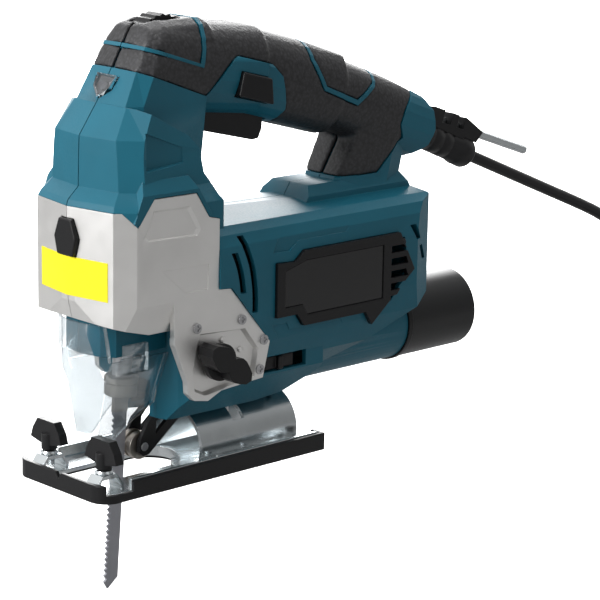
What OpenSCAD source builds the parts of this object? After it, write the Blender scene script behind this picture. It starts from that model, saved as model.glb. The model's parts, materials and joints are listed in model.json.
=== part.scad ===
// Jigsaw with pendulum action, die-cast gear cover and tilting sole.
// Millimetres. +X points to the rear, +Y to the saw's right side, +Z up.
// Origin: sole plane, centre plane, on the blade's line.

/* [Sole] */
// Length of the sole
plate_l = 133; // [115:1:160]
// Width of the sole
plate_w = 64; // [58:1:78]
// Height of the plastic shoe cover's rim
rim_h = 8.3; // [6.5:0.1:9]
// Thickness of the sole's steel sheet
sheet_t = 2; // [1.5:0.1:2.2]
// Half width of the sole's blade opening
opening_r = 12.5; // [11.5:0.5:14]
// Radius of the half-round tilt bracket
arch_r = 18; // [15:0.5:20]

/* [Body] */
// Where the rear end of the motor housing lies
body_rear = 183; // [170:1:225]
// Height of the handle's top above the sole
handle_top = 206; // [196:1:240]
// Half width of the motor housing
barrel_w = 34; // [33:0.5:38]
// Wall of the plastic casings
wall = 2.5; // [1.8:0.1:3]
// Thickness of the rubber grip skin
grip_t = 2.4; // [1.6:0.1:3]
// Half width of the handle
handle_w = 17; // [15:0.5:20]

/* [Drive] */
// Diameter of the motor's stator
stator_d = 56; // [46:0.1:57]
// Diameter of the armature shaft
shaft_d = 8; // [6:0.5:9]
// Diameter of the plunger rod
plunger_d = 9; // [7:0.5:10]
// Stroke of the plunger
stroke = 20; // [16:1:22]
// Radial clearance of running fits
run_gap = 0.05; // [0.02:0.01:0.1]

/* [Blade] */
// Width of the blade
blade_w = 7.8; // [6:0.2:9]
// Thickness of the blade
blade_t = 1.3; // [0.9:0.1:1.6]
// Height of the blade's tip below the sole
blade_below = 53; // [40:1:56]
// Pitch of the teeth
tooth_pitch = 2.6; // [2:0.1:4]

/* [Dust and cord] */
// Outer diameter of the dust pipe
pipe_d = 39; // [36:0.5:40]
// Bore of the dust pipe
pipe_bore = 35; // [32:0.5:35.5]
// Diameter of the mains cord
cord_d = 6; // [5:0.5:7]

/* [Hidden] */
$fn = 48;
gap = 0.3;          // between bodies that move past each other
swing = 1.6;        // room round the trigger, which turns in its slot
seam = 0.15;        // between neighbouring fixed pieces
far = 60;           // reaches past the body sideways
teal = [0.09, 0.42, 0.52];
black = [0.1, 0.1, 0.11];
alloy = [0.74, 0.74, 0.72];
steel = [0.62, 0.63, 0.65];
zinc = [0.75, 0.78, 0.8];
clear = [0.85, 0.9, 0.95, 0.4];
copper = [0.72, 0.42, 0.2];

// Two stretches carry the overall sizes: everything behind split_x moves with
// the rear end, everything above split_z moves with the handle's top.
split_x = 112;
split_z = 140;
rear_shift = body_rear - 183;
lift = handle_top - 206;
function sx(x) = x > split_x ? x + rear_shift : x;
function sz(z) = z > split_z ? z + lift : z;
function st(p) = [for (q = p) [sx(q[0]), sz(q[1])]];
function grow(p, c, d) = [for (q = p) [q[0] + d * sign(q[0] - c[0]), q[1] + d * sign(q[1] - c[1])]];

// ---- drawing helpers ----
module side(pts, y0, y1) {
    translate([0, y1, 0]) rotate([90, 0, 0]) linear_extrude(y1 - y0) polygon(pts);
}
module plan(pts, z0, z1) {
    translate([0, 0, z0]) linear_extrude(z1 - z0) polygon(pts);
}
module front(pts, x0, x1) {
    translate([x0, 0, 0]) rotate([90, 0, 90]) linear_extrude(x1 - x0) polygon(pts);
}
module block(x0, x1, y0, y1, z0, z1) {
    translate([x0, y0, z0]) cube([x1 - x0, y1 - y0, z1 - z0]);
}
module rod_x(d, x0, x1, y, z) {
    translate([x0, y, z]) rotate([0, 90, 0]) cylinder(d = d, h = x1 - x0);
}
module rod_y(d, y0, y1, x, z) {
    translate([x, y1, z]) rotate([90, 0, 0]) cylinder(d = d, h = y1 - y0);
}
module rod_z(d, z0, z1, x, y) {
    translate([x, y, z0]) cylinder(d = d, h = z1 - z0);
}
module ring_x(d, bore, x0, x1, y, z) {
    difference() {
        rod_x(d, x0, x1, y, z);
        rod_x(bore, x0 - 1, x1 + 1, y, z);
    }
}
module both_sides() {
    children();
    mirror([0, 1, 0]) children();
}
module left_half() {
    intersection() {
        children();
        block(-100, 300, -far, 0, -100, 300);
    }
}
module right_half() {
    intersection() {
        children();
        block(-100, 300, 0, far, -100, 300);
    }
}
// A closed body through rings of points that all have the same count
module loft(rings) {
    n = len(rings[0]);
    m = len(rings);
    pts = [for (r = rings) for (p = r) p];
    sides = [for (i = [0 : m - 2]) for (j = [0 : n - 1])
        let (a = i * n + j, b = i * n + (j + 1) % n)
        each [[a, a + n, b], [b, a + n, b + n]]];
    caps = [for (j = [1 : n - 2]) each [[0, j, j + 1], [(m - 1) * n, (m - 1) * n + j + 1, (m - 1) * n + j]]];
    polyhedron(points = pts, faces = concat(sides, caps), convexity = 6);
}

// ---- motor housing ----
motor_z = 80;
barrel_side = st([[31, 118], [60, 117.5], [168, 115.5], [177, 104], [183, 92], [181, 80],
    [170, 65], [97, 36], [31, 36]]);
function barrel_plan(d) = st([[31 - 1, -barrel_w + d], [156, -barrel_w + d], [170, -27 + d], [180, -15 + d],
    [185 - d, 0], [180, 15 - d], [170, 27 - d], [156, barrel_w - d], [31 - 1, barrel_w - d]]);
function barrel_front(d) = [[-barrel_w + d, 96], [-barrel_w + 1 + d, 106], [-barrel_w + 3 + d, 111 - d / 2],
    [-26 + d / 2, 114 - d], [0, 118 - d], [26 - d / 2, 114 - d], [barrel_w - 3 - d, 111 - d / 2],
    [barrel_w - 1 - d, 106], [barrel_w - d, 96], [barrel_w - d, 72], [barrel_w - 1 - d, 60],
    [29 - d, 48 + d / 2], [22 - d / 2, 40 + d], [12, 35.5 + d], [-12, 35.5 + d], [-22 + d / 2, 40 + d],
    [-29 + d, 48 + d / 2], [-barrel_w + 1 + d, 60], [-barrel_w + d, 72]];
module barrel(d) {
    intersection() {
        side(d > 0 ? st([[30, 118], [167, 113], [175, 102.5], [180, 92], [178, 81],
            [168, 68], [97, 39.5], [30, 39]]) : barrel_side, -far, far);
        plan(barrel_plan(d), 0, 150);
        front(barrel_front(d), 29, body_rear + 10);
    }
}

// ---- dust channel under the motor ----
duct_z = 46.5;
duct_d = 39;
duct_end = 166 + rear_shift;

// ---- foot above the sole ----
tilt_z = 8;
foot_w = 29.6;
foot_side = [[12, 90], [12, 27.5], [20, 26.5], [68, 26], [84, 28], [99, 38], [99, 90]];
foot_plan = [[12, -13], [17, -22], [24, -foot_w], [99, -foot_w], [99, foot_w], [24, foot_w], [17, 22],
    [12, 13]];
function foot_front(d) = [[-16 + d, 26 + d], [-foot_w + d, 42 + d / 2], [-foot_w + d, 90 - d],
    [foot_w - d, 90 - d], [foot_w - d, 42 + d / 2], [16 - d, 26 + d]];
module foot() {
    intersection() {
        side(foot_side, -far, far);
        plan(foot_plan, 0, 100);
        front(foot_front(0), 0, 110);
    }
}
module foot_room() {
    intersection() {
        side([[12 + wall, 95], [12 + wall, 30], [84, 30], [97, 40], [97, 95]], -far, far);
        plan([[12 + wall, -12], [19, -20], [26, -foot_w + wall], [99, -foot_w + wall],
            [99, foot_w - wall], [26, foot_w - wall], [19, 20], [12 + wall, 12]], 0, 100);
        front(foot_front(wall), 0, 110);
    }
}

// ---- nose that holds the lower bush ----
nose_front = -22;
nose_w = 17.5;
nose_z0 = 61;
nose_z1 = 84;
module nose() {
    plan([[nose_front, 0], [nose_front + 2.5, -12], [nose_front + 7, -nose_w], [13, -nose_w],
        [13, nose_w], [nose_front + 7, nose_w], [nose_front + 2.5, 12]], nose_z0, nose_z1);
}

// ---- head ----
// One section: height, nose tip, front corner x and y, side corner x and y, rear x and y
function head_ring(s) = [[s[1], 0, s[0]], [s[2], -s[3], s[0]], [s[4], -s[5], s[0]], [s[6], -s[7], s[0]],
    [s[6], s[7], s[0]], [s[4], s[5], s[0]], [s[2], s[3], s[0]]];
// Moves a section inwards by d
function inner(s, d) = [s[0], s[1] + d, s[2] + d, s[3] - d * 0.8, s[4] + d * 0.4, s[5] - d, s[6] - d,
    s[7] - d];
low_head = [[115, -28.5, -23.7, 26.4, -16, 33, 33.5, 33], [128, -28.5, -23.7, 26.4, -16, 33, 33.5, 33],
    [130.7, -27.4, -22.5, 25.5, -14, 32.5, 33, 31], [135.7, -21.9, -18.2, 23, -10, 31, 29, 29],
    [sz(150.5), -21.6, -18.2, 22, -10, 30, 27, 27], [sz(158), -21.3, -18.1, 21.1, -9, 29.5, 25, 26],
    [sz(172), -11.4, -9, 17.5, -2, 27, 25, 24]];
top_head = [[126, -16, -12, 16, -2, 20, 30, 19], [sz(171), -12, -9.4, 16.7, -2, 20.5, 35, 19],
    [sz(186), -3.3, -1.5, 14.9, 5, 20, 38, 18], [sz(197), 2.8, 4.8, 13.7, 10, 17.5, 42, 16.5],
    [sz(203), 6.1, 8.1, 11.1, 13, 13, 42, 12.5], [sz(205.5), 11, 12, 6, 17, 8, 40, 8]];
low_head_side = [[-29, 115], [-29, 131], [-21.9, 135.7], [-21.6, sz(158)], [-12, sz(171.5)], [-7, sz(170.5)],
    [18, sz(157.5)], [24, sz(151.5)], [25.4, sz(140.5)], [29, 136], [33.3, 127.5], [33.3, 115]];
module head_low(d) {
    intersection() {
        loft([for (s = low_head) head_ring(inner(s, d))]);
        side([for (p = low_head_side) [p[0] > 0 ? p[0] - d : p[0] + d, p[1] > split_z ? p[1] - d : p[1]]],
            -far, far);
    }
}
module head_top(d) {
    loft([for (s = top_head) head_ring(inner([s[0] > sz(200) ? s[0] - d : s[0], s[1], s[2], s[3], s[4], s[5],
        s[6], s[7]], d))]);
}

// ---- handle ----
bulge = 2.6;
function curl(v) = sign(v) * pow(abs(v), 2 / bulge);
function soft_box(h, w, n) = [for (k = [0 : n - 1]) let (a = 360 * (k + 0.5) / n) [h * curl(cos(a)),
    w * curl(sin(a))]];
// Straight lengths of the handle: start x and z, end x and z, half height, extra half width
handle_runs = [[12, 186, 72, 179, 21, 2], [58, 181.5, 122, 164, 20.5, 0.6], [102, 171, 190, 139, 17, 0]];
handle_n = 24;
module handle_run(r, d) {
    x0 = sx(r[0]) + d;
    x1 = sx(r[2]) - d;
    z0 = sz(r[1]);
    z1 = sz(r[3]);
    slope = atan2(z0 - z1, x1 - x0);
    translate([x0, 0, z0]) rotate([0, 90 + slope, 0])
        linear_extrude(norm([x1 - x0, z1 - z0])) polygon(soft_box(r[4] - d, handle_w + r[5] - d, handle_n));
}
module handle_body(d) {
    intersection() {
        union() {
            for (r = handle_runs) handle_run(r, d);
        }
        side(st([[0, 206 - d], [38, 205.8 - d], [58, 203 - d], [94, 193 - d], [126, 181.5 - d],
            [158, 167.3 - d], [178 - d, 157 - d],
            [183.5 - d, 150], [184 - d, 141], [180 - d, 133.5], [172 - d, 129], [172, 120], [90, 120],
                [0, 150]]), -far, far);
    }
}
// Rear post between the handle and the motor housing
post_half = 22;
module post_body(d) {
    intersection() {
        translate([sx(141), 0, 108]) rotate([0, 14, 0])
            linear_extrude(sz(150) - 108) polygon(soft_box(post_half + 3 - d, handle_w - 1.5 - d, 12));
        side(st([[118 + d, 110], [123.5 + d, 124], [133 + d, 139], [140, 165], [178 - d, 165],
            [176 - d, 132], [168 - d, 130],
            [167 - d, 118], [172 - d, 110]]), -far, far);
    }
}
module saddle() {
    intersection() {
        side(st([[97, 112], [104, 122.5], [164, 122.5], [170, 112]]), -16, 16);
        front([[-16, 100], [-16, 118], [-12, 122.6], [12, 122.6], [16, 118], [16, 100]], 90, body_rear);
    }
}

// Side outline of the rubber grip
grip_side = st([[-20, 193], [-3.5, 186], [36, 171.5], [51, 186], [54, 188], [76, 182.2], [82.5, 176],
    [86, 160.5],
    [80, 150], [100, 138], [117, 124], [147, 124], [163, 139], [160.5, 145.5], [163.5, 153], [178, 168],
    [178, 230], [-20, 230]]);
// Slim lines where the casing shows between fields of rubber
line_w = 2;
line_front = [[-12, 201], [32, 186.5], [38, 212], [38 + line_w, 212], [33.6, 186.5 - line_w],
    [-12, 201 - line_w]];
line_rear = [[103, 194], [103.5, 182], [110, 169], [131, 160.5], [142, 167], [149, 180], [150.5, 178],
    [143, 165.5],
    [131, 158], [108.8, 167.2], [101.5, 181.5], [101, 194]];
module skin_zone() {
    difference() {
        side(grip_side, -far, far);
        side(st(line_front), -far, far);
        side(st(line_rear), -far, far);
    }
}
module upper_form(d) {
    head_top(d);
    handle_body(d);
    post_body(d);
}

// ---- gear cover outlines ----
cover_w = 33;
cover_side = [[-28.5, 127.8], [-27.7, 86], [-25.7, 77.6], [5, 69], [31, 69], [31, 119.8], [25, 121.2],
    [17.4, 132.8], [-6.4, 133], [-15.5, 121.3], [-21, 127.8]];
cover_plan = [[-28.5, 0], [-24, -26.4], [-16, -cover_w], [40, -cover_w], [40, cover_w], [-16, cover_w],
    [-24, 26.4]];
lobe_side = [[5, 80], [5.3, 66.2], [13, 47.8], [13.4, 42.5], [17, 39], [25, 37.5], [33, 41], [58, 42.6],
    [62, 59], [38, 87.2], [31, 87.8], [5, 88]];
cover_wall = 3;

// ---- plunger frame: tilted so that the blade leans forward going down ----
lean = 4;
axis_x = -1;
module tilted() {
    translate([axis_x, 0, 0]) rotate([0, lean, 0]) children();
}

// ---- housing ----
vent_x = -18;
vent_z = 78;
deck_z = 146;
rear_seat = 154 + rear_shift;
rear_bearing_d = 19;
stator_x0 = 74;
stator_x1 = 120;
module arc_vent(r, z0, z1) {
    intersection() {
        difference() {
            rod_y(2 * r + 3.4, -far, far, vent_x, vent_z);
            rod_y(2 * r - 3.4, -far - 1, far + 1, vent_x, vent_z);
        }
        block(30, 60, -far, far, z0, z1);
    }
}
dial_x = 21.5;
dial_z = sz(194);
dial_d = 28;
dial_w = 10;
lock_side = st([[53, 170], [74, 164.5], [73, 176.5], [56, 181]]);
trigger_side = st([[36, 168], [36, 157.5], [38, 155.3], [72, 147], [75.5, 147.5], [77.5, 152], [78, 164]]);
module casing() {
    difference() {
        union() {
            barrel(0);
            saddle();
            foot();
            head_low(0);
            nose();
            rod_x(duct_d, 90, duct_end, 0, duct_z);
            difference() {
                upper_form(0);
                skin_cut();
            }
        }
        // motor and gear room, with the walls and seats that stay in it
        difference() {
            union() {
                barrel(wall);
                foot_room();
            }
            both_sides() side(grow(lobe_side, [33, 62], 3), -far, -foot_w + wall);
            bulkhead(stator_x0 + 4, stator_x0 + 7, stator_d + 2 * seam);
            bulkhead(stator_x1 - 8, stator_x1 - 5, stator_d + 2 * seam);
            bulkhead(rear_seat, rear_seat + 6, rear_bearing_d + 2 * seam);
            both_sides() block(fork_x - 4, fork_x + 4, -12, -8, 20, fork_z + 6);
            screw_posts();
        }
        rod_x(duct_d - 2 * wall, 80, duct_end + 1, 0, duct_z);
        rod_x(duct_d + 2 + 2 * gap, duct_end, duct_end + 60, 0, duct_z);
        // room in the head, split by the deck that holds the upper bush
        difference() {
            head_low(wall);
            block(-30, 30, -far, far, deck_z, deck_z + 6);
        }
        // room in the handle and its post, round the screws and the trigger's pin
        difference() {
            union() {
                handle_body(grip_t + wall);
                post_body(grip_t + wall);
                intersection() {
                    head_top(grip_t + wall);
                    block(-30, 60, -far, far, deck_z + 6, 300);
                }
            }
            screw_posts();
            both_sides() rod_y(8, -handle_w + 1, -9.5, trigger_pin_x, trigger_pin_z);
        }
        // the gear cover's place
        side(grow_cover(), -far, far);
        both_sides() side(grow(lobe_side, [33, 62], seam), -far, -foot_w);
        // plunger, bushes, clamp and blade way
        tilted() rod_z(20, 50, 76, 0, 0);
        tilted() rod_z(14, 75, 90, 0, 0);
        tilted() rod_z(14, deck_z - 3, deck_z + 9, 0, 0);
        // fork slot, tilt seat and bevel screw
        block(11, 38, -8, 8, 20, 44);
        rod_x(2 * arch_r + 2 * gap, 30, 104, 0, tilt_z);
        rod_z(7, 20, 34, 60, 0);
        // vents
        arc_vent(63, 84, 103);
        arc_vent(70, 74, 110);
        both_sides() side(st([[151, 101], [155, 101], [159.5, 93.5], [155.5, 93.5]]), -far, -24);
        both_sides() side(st([[158.5, 90], [162, 90], [166, 82.5], [162.5, 82.5]]), -far, -20);
        both_sides() side(st([[137, 96], [147, 96], [150, 80], [139, 66],
            [137, 66]]), -far, -barrel_w + wall + 1);
        both_sides() side(st(badge_side), -far, -barrel_w + 1);
        // controls
        side(grow(lock_side, [64, sz(172)], gap), -far, -8);
        side(grow(trigger_side, [57, sz(157)], swing), -9.5, 9.5);
        side(st([[44, 165], [78, 158], [81, 168], [60, 170]]), -9.5, 9.5);
        rod_y(trigger_pin_d, -trigger_pin_l / 2, trigger_pin_l / 2, trigger_pin_x, trigger_pin_z);
        rod_y(fork_pin_d, -fork_pin_l / 2, fork_pin_l / 2, fork_x, fork_z);
        rod_y(dial_d + 2, -dial_w / 2 - 0.5, dial_w / 2 + 0.5, dial_x, dial_z);
        // light window, cord sleeve, knob shaft, slider, screws
        light_place() front([[-6.8, 5.3], [6.8, 5.3], [5.8, -1.2], [0, -6.4], [-5.8, -1.2]], -3, 3);
        light_place() block(2.6, 30, -6.3, 6.3, -4.8, 4.8);
        sleeve_place() rod_z(sleeve_neck_d, -20, 20, 0, 0);
        rod_y(10, -far, -20, knob_x, knob_z);
        block(60, 88, -far, -24, 43, 50.4);
        for (p = screw_places) rod_y(screw_head + 0.6, p[2], far, sx(p[0]), sz(p[1]));
    }
}
// The rubber's place on the handle
module skin_cut() {
    intersection() {
        difference() {
            upper_form(0);
            upper_form(grip_t);
        }
        skin_zone();
    }
}
function grow_cover() = concat([[-40, 127.8 + seam], [-40, 85]], [[-40, 85.1], [31 + seam, 85.1]],
    [[31 + seam, 120], [25.3, 121.4], [17.6, 133], [-6.5, 133.2], [-15.6, 121.5], [-21, 127.8 + seam]]);
// Walls across the motor room that hold round parts
module bulkhead(x0, x1, bore) {
    difference() {
        block(x0, x1, -far, far, 0, 150);
        rod_x(bore, x0 - 1, x1 + 1, 0, motor_z);
    }
}
// Screws from the right side: x, z and how far out the head's seat lies
screw_places = [[22, 149, 25.4], [92, 172, 12.6], [152, 152.5, 12], [143, 127, 11], [148, 106, 30.5],
    [48, 35, 19.6]];
screw_head = 6.4;
module screw_posts() {
    for (p = screw_places) rod_y(9, -p[2] - 1.5, p[2] + 1.5, sx(p[0]), sz(p[1]));
}
module left_housing() { color(teal) left_half() casing(); }
module right_housing() { color(teal) right_half() casing(); }
module grips() {
    difference() {
        intersection() {
            difference() {
                upper_form(0);
                upper_form(grip_t);
            }
            skin_zone();
        }
        rod_y(dial_d + 2, -dial_w / 2 - 0.5, dial_w / 2 + 0.5, dial_x, dial_z);
        side(grow(trigger_side, [57, sz(157)], swing), -9.5, 9.5);
        saddle();
        barrel(0);
        sleeve_place() rod_z(sleeve_neck_d, -20, 20, 0, 0);
        for (p = screw_places) rod_y(screw_head + 0.6, 0, far, sx(p[0]), sz(p[1]));
    }
}
module left_grip() { color(black) left_half() grips(); }
module right_grip() { color(black) right_half() grips(); }

// ---- die-cast gear cover ----
bolt_places = [[18, 72], [44.6, 71.9], [58, 60.4], [55.7, 47]];
module cover_shell() {
    difference() {
        intersection() {
            side(cover_side, -far, far);
            plan(cover_plan, 60, 140);
            front([[-28.5, 72], [-cover_w, 86], [-cover_w, 140], [cover_w, 140], [cover_w, 86],
                [28.5, 72]], -30, 40);
        }
        // gear room
        intersection() {
            side([[-25.5, 140], [-24.5, 86], [-22.6, 60], [40, 60], [40, 140]], -far, far);
            plan([[-25.4, 0], [-21, -24.5], [-14.5, -cover_w + cover_wall], [50, -cover_w + cover_wall],
                [50, cover_w - cover_wall], [-14.5, cover_w - cover_wall], [-21, 24.5]], 50, 150);
            front([[-25.5, 60], [-25.5, 72], [-30, 86], [-30, 140], [30, 140], [30, 86], [25.5, 72],
                [25.5, 60]], -40, 60);
        }
        rod_x_hex(front_button_w + 2 * gap, -40, -20);
        // the foot's place
        plan([[12, -12.9], [17, -21.9], [24, -foot_w], [50, -foot_w], [50, foot_w], [24, foot_w],
            [17, 21.9], [12, 12.9]], 60, 85.1);
    }
}
module cover_lobe() {
    difference() {
        side(lobe_side, -cover_w, -foot_w);
        side(cover_side, -foot_w - 0.4, 0);
        for (p = bolt_places) rod_y(3, -far, 0, p[0], p[1]);
    }
}
knob_x = 30.5;
knob_z = 55;
module left_gear_cover() {
    color(alloy) left_half() {
        cover_shell();
        difference() {
            cover_lobe();
            rod_y(8 + 2 * run_gap, -far, 0, knob_x, knob_z);
            // sunk field around the knob
            side([[17, 52], [21, 68.5], [46, 67], [54, 57], [51, 44],
                [23, 41.5]], -cover_w - 1, -cover_w + 1.2);
        }
    }
}
module right_gear_cover() {
    color(alloy) right_half() {
        cover_shell();
        mirror([0, 1, 0]) cover_lobe();
    }
}

// ---- badges with louvres ----
badge_side = [[64, 95], [75, 94.5], [81, 99], [143, 99], [153, 80], [125, 57], [121, 63.5], [81, 63.5],
    [76.5, 69.5],
    [64, 69.5]];
badge_t = 2.4;
module badge() {
    difference() {
        side(st(grow(badge_side, [100, 80], -seam)), -barrel_w - 1.5, -barrel_w - 1.5 + badge_t);
        side(st([[69, 91], [82, 94.5], [132, 94.5], [132, 68.5], [83, 68.5], [80, 73.5], [69, 73.5]]),
            -barrel_w - 2, -barrel_w - 0.7);
        for (k = [0 : 4])
            side(st([[137, 93 - 6 * k], [147 - (k == 0 ? 2 : 0), 93 - 6 * k],
                [148.5 - (k > 2 ? 3.5 * (k - 2) : 0), 89.5 - 6 * k],
                [137, 89.5 - 6 * k]]), -far, 0);
    }
}
module left_badge() { color(black) badge(); }
module right_badge() { color(black) mirror([0, 1, 0]) badge(); }

// ---- light and front button ----
module light_place() {
    translate([-8.2, 0, sz(178.8)]) rotate([0, 31, 0]) children();
}
module light_window() {
    color(clear) light_place() front([[-6.5, 5], [6.5, 5], [5.5, -1], [0, -6], [-5.5, -1]], -0.6, 2.2);
}
module light_module() {
    color("white") light_place() {
        block(3, 5, -6, 6, -4.5, 4.5);
        rod_x(4, 2.4, 3.2, 0, 0);
    }
}
front_button_w = 15;
module rod_x_hex(w, x0, x1) {
    front([[-w * 0.28, 122.5 + (w - 15) / 2], [w * 0.28, 122.5 + (w - 15) / 2], [w / 2, 114],
        [w * 0.36, 106 - (w - 15) / 2],
        [-w * 0.36, 106 - (w - 15) / 2], [-w / 2, 114]], x0, x1);
}
module front_button() { color(black) rod_x_hex(front_button_w, -29.8, -23); }

// ---- speed dial and board ----
module speed_dial() {
    color(black) difference() {
        side([for (k = [0 : 47]) let (r = dial_d / 2 - (k % 2) * 0.8, a = 7.5 * k)
            [dial_x + r * cos(a), dial_z + r * sin(a)]], -dial_w / 2, dial_w / 2);
        rod_y(4 + 2 * run_gap, -far, far, dial_x, dial_z);
    }
}
module control_board() {
    color("darkgreen") {
        block(18, 34, -12, 12, sz(174), sz(175.6));
        both_sides() block(dial_x - 4, dial_x + 4, -dial_w / 2 - 3.2, -dial_w / 2 - 0.7, sz(175.6),
            dial_z + 4);
        rod_y(4, -dial_w / 2 - 3, dial_w / 2 + 3, dial_x, dial_z);
    }
}

// ---- switch group ----
module lock_button() {
    color(black) side(lock_side, -handle_w - 4, -12.5);
}
trigger_pin_x = 40;
trigger_pin_z = sz(164.5);
trigger_pin_d = 3;
trigger_pin_l = 22;
module trigger() {
    color(black) difference() {
        side(trigger_side, -9, 9);
        rod_y(trigger_pin_d + 2 * run_gap, -20, 20, trigger_pin_x, trigger_pin_z);
    }
}
module trigger_pin() {
    color(steel) rod_y(trigger_pin_d, -trigger_pin_l / 2, trigger_pin_l / 2, trigger_pin_x, trigger_pin_z);
}
module switch_block() {
    color([0.16, 0.16, 0.17]) {
        block(48, 74, -8, 8, sz(174), sz(188));
        block(56, 62, -3, 3, sz(171), sz(174));
    }
}

// ---- pendulum knob and its cam shaft ----
module pendulum_knob() {
    color(black) translate([knob_x, -cover_w - 0.2, knob_z]) rotate([90, 0, 0]) {
        cylinder(d = 17, h = 3);
        rotate(-38) linear_extrude(10) polygon([for (k = [0 : 23]) let (a = 15 * k,
            r = 9.2 + 4.6 * cos(2 * a) + 0.8 * cos(6 * a))
            [r * cos(a), r * sin(a) * 0.86]]);
    }
}
module pendulum_shaft() {
    color(steel) {
        rod_y(8, -cover_w - 0.2, -21, knob_x, knob_z);
        rod_y(6, -21, -9, knob_x, knob_z - 0.7);
    }
}
module blower_slider() {
    color(black) {
        block(63, 81, -28.5, -25, 43.6, 49.8);
        block(70, 73, -30.6, -28.5, 43.6, 49.8);
    }
}

// ---- dust pipe ----
module dust_pipe() {
    color(black) difference() {
        union() {
            rod_x(pipe_d, duct_end + 3, duct_end + 48, 0, duct_z - 0.5);
            rod_x(duct_d - 2 * wall - 0.4, duct_end - 8, duct_end + 4, 0, duct_z);
        }
        rod_x(pipe_bore, duct_end + 6, duct_end + 50, 0, duct_z - 0.5);
        rod_x(30, duct_end - 9, duct_end + 7, 0, duct_z);
    }
}
module dust_ring() {
    color(black) ring_x(duct_d + 2, duct_d - 2 * wall - 0.2, duct_end + 0.1, duct_end + 2.9, 0, duct_z);
}

// ---- clear blade guard ----
guard_t = 1.4;
module guard_form(d) {
    intersection() {
        side([[-26.5 + d, 76 + 9 * d], [-24 + d, 62], [-19.3 + d, 45], [-19.3 + d, 22 - 9 * d],
            [-9 + 9 * d, 20 - 9 * d],
            [1 + 9 * d, 28], [15 + 9 * d, 37], [17 + 9 * d, 45], [14 + 9 * d, 59 + 9 * d],
                [-18.5, 59 + 9 * d],
            [-20, 76 + 9 * d]], -far, far);
        plan([[-26.5 + d, 0], [-24 + d, -12 + d / 2], [-19 + d, -18.5 + d], [40, -18.5 + d], [40, 18.5 - d],
            [-19 + d, 18.5 - d], [-24 + d, 12 - d / 2]], 0, 100);
        front([[-8.5 + d, 0], [-8.5 + d, 22], [-18.5 + d, 59], [-18.5 + d, 90], [18.5 - d, 90],
            [18.5 - d, 59],
            [8.5 - d, 22], [8.5 - d, 0]], -60, 60);
    }
}
module blade_guard() {
    color(clear) {
        difference() {
            guard_form(0);
            guard_form(guard_t);
            // the foot's place behind it
            plan([[11.6, -13.2], [15.3, -20], [40, -20], [40, 20], [15.3, 20], [11.6, 13.2]], 0, 80);
        }
        // clips that grip the nose from both sides
        both_sides() block(-12, 1, -20.4, -16.4, 53, 59.6);
        both_sides() block(-12, 1, -20.4, -nose_w - gap, 53, 66);
    }
}

// ---- motor ----
module stator() {
    color([0.35, 0.35, 0.37]) difference() {
        rod_x(stator_d, stator_x0, stator_x1, 0, motor_z);
        rod_x(34, stator_x0 - 1, stator_x1 + 1, 0, motor_z);
    }
}
module armature_core() { color(copper) ring_x(32, shaft_d, 76, 118, 0, motor_z); }
pinion_n = 9;
gear_n = 45;
gear_z = motor_z + (pinion_n + gear_n) / 2;
// Gear outline of module 1, first tooth at angle a0
function gear_pts(n, a0, add, ded) = [for (k = [0 : n - 1]) let (c = a0 + 360 * k / n, p = 360 / n)
    each [for (v = [[-0.26, -ded], [-0.1, add], [0.1, add], [0.26, -ded]])
        let (r = n / 2 + v[1], a = c + v[0] * p) [r * cos(a), r * sin(a)]]];
module armature_shaft() {
    color(steel) {
        rod_x(shaft_d, 29, rear_seat - 2, 0, motor_z);
        rod_x(7, rear_seat - 2, rear_seat + 7, 0, motor_z);
        front([for (q = gear_pts(pinion_n, 90, 0.8, 1.2)) [q[0], q[1] + motor_z]], 16, 29);
    }
}
module commutator() { color(copper) ring_x(21, shaft_d, 126 + rear_shift, 140 + rear_shift, 0, motor_z); }
module cooling_fan() {
    color([0.2, 0.2, 0.22]) {
        ring_x(14, shaft_d, 54, 66, 0, motor_z);
        ring_x(48, shaft_d, 54, 56, 0, motor_z);
        for (k = [0 : 10]) translate([56, 0, motor_z]) rotate([k * 360 / 11, 0, 0])
            translate([0, -0.7, 6.9]) cube([9, 1.4, 16.5]);
    }
}
module front_bearing() { color(steel) ring_x(22, shaft_d + 2 * run_gap, 37, 44, 0, motor_z); }
module rear_bearing() {
    color(steel) ring_x(rear_bearing_d, 7 + 2 * run_gap, rear_seat, rear_seat + 6, 0, motor_z);
}
module carbon_brushes() {
    color([0.15, 0.15, 0.15]) both_sides() block(130 + rear_shift, 136 + rear_shift, -21, -10.8,
        motor_z - 4, motor_z + 4);
}
module brush_holders() {
    color([0.7, 0.58, 0.3]) both_sides() difference() {
        block(128 + rear_shift, 138 + rear_shift, -26, -12, motor_z - 6, motor_z + 6);
        block(130 + rear_shift, 136 + rear_shift, -24, -11, motor_z - 4, motor_z + 4);
    }
}
plate_r = foot_w - wall;
module bearing_plate() {
    color(alloy) difference() {
        union() {
            front([[-20, 66], [20, 66], [plate_r, 78], [plate_r, 106], [19, 112], [-19, 112], [-plate_r, 106],
                [-plate_r, 78]], 32, 35.5);
            rod_x(28, 35.5, 44, 0, motor_z);
            rod_x(13, 29, 40, 0, gear_z);
        }
        rod_x(22, 37, 45, 0, motor_z);
        rod_x(shaft_d + 2, 30, 40, 0, motor_z);
        rod_x(7, 20, 50, 0, gear_z);
    }
}
module drive_gear() {
    color(steel) {
        difference() {
            union() {
                front([for (q = gear_pts(gear_n, 90, 0.8, 1.2)) [q[0], q[1] + gear_z]], 18, 26);
                rod_x(14, 26, 28.5, 0, gear_z);
            }
            rod_x(7 + 2 * run_gap, 19.5, 30, 0, gear_z);
        }
        rod_x(6, 14.2, 18, 0, gear_z - stroke / 2);
    }
}
module gear_pin() { color(steel) rod_x(7, 20, 40, 0, gear_z); }

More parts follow.
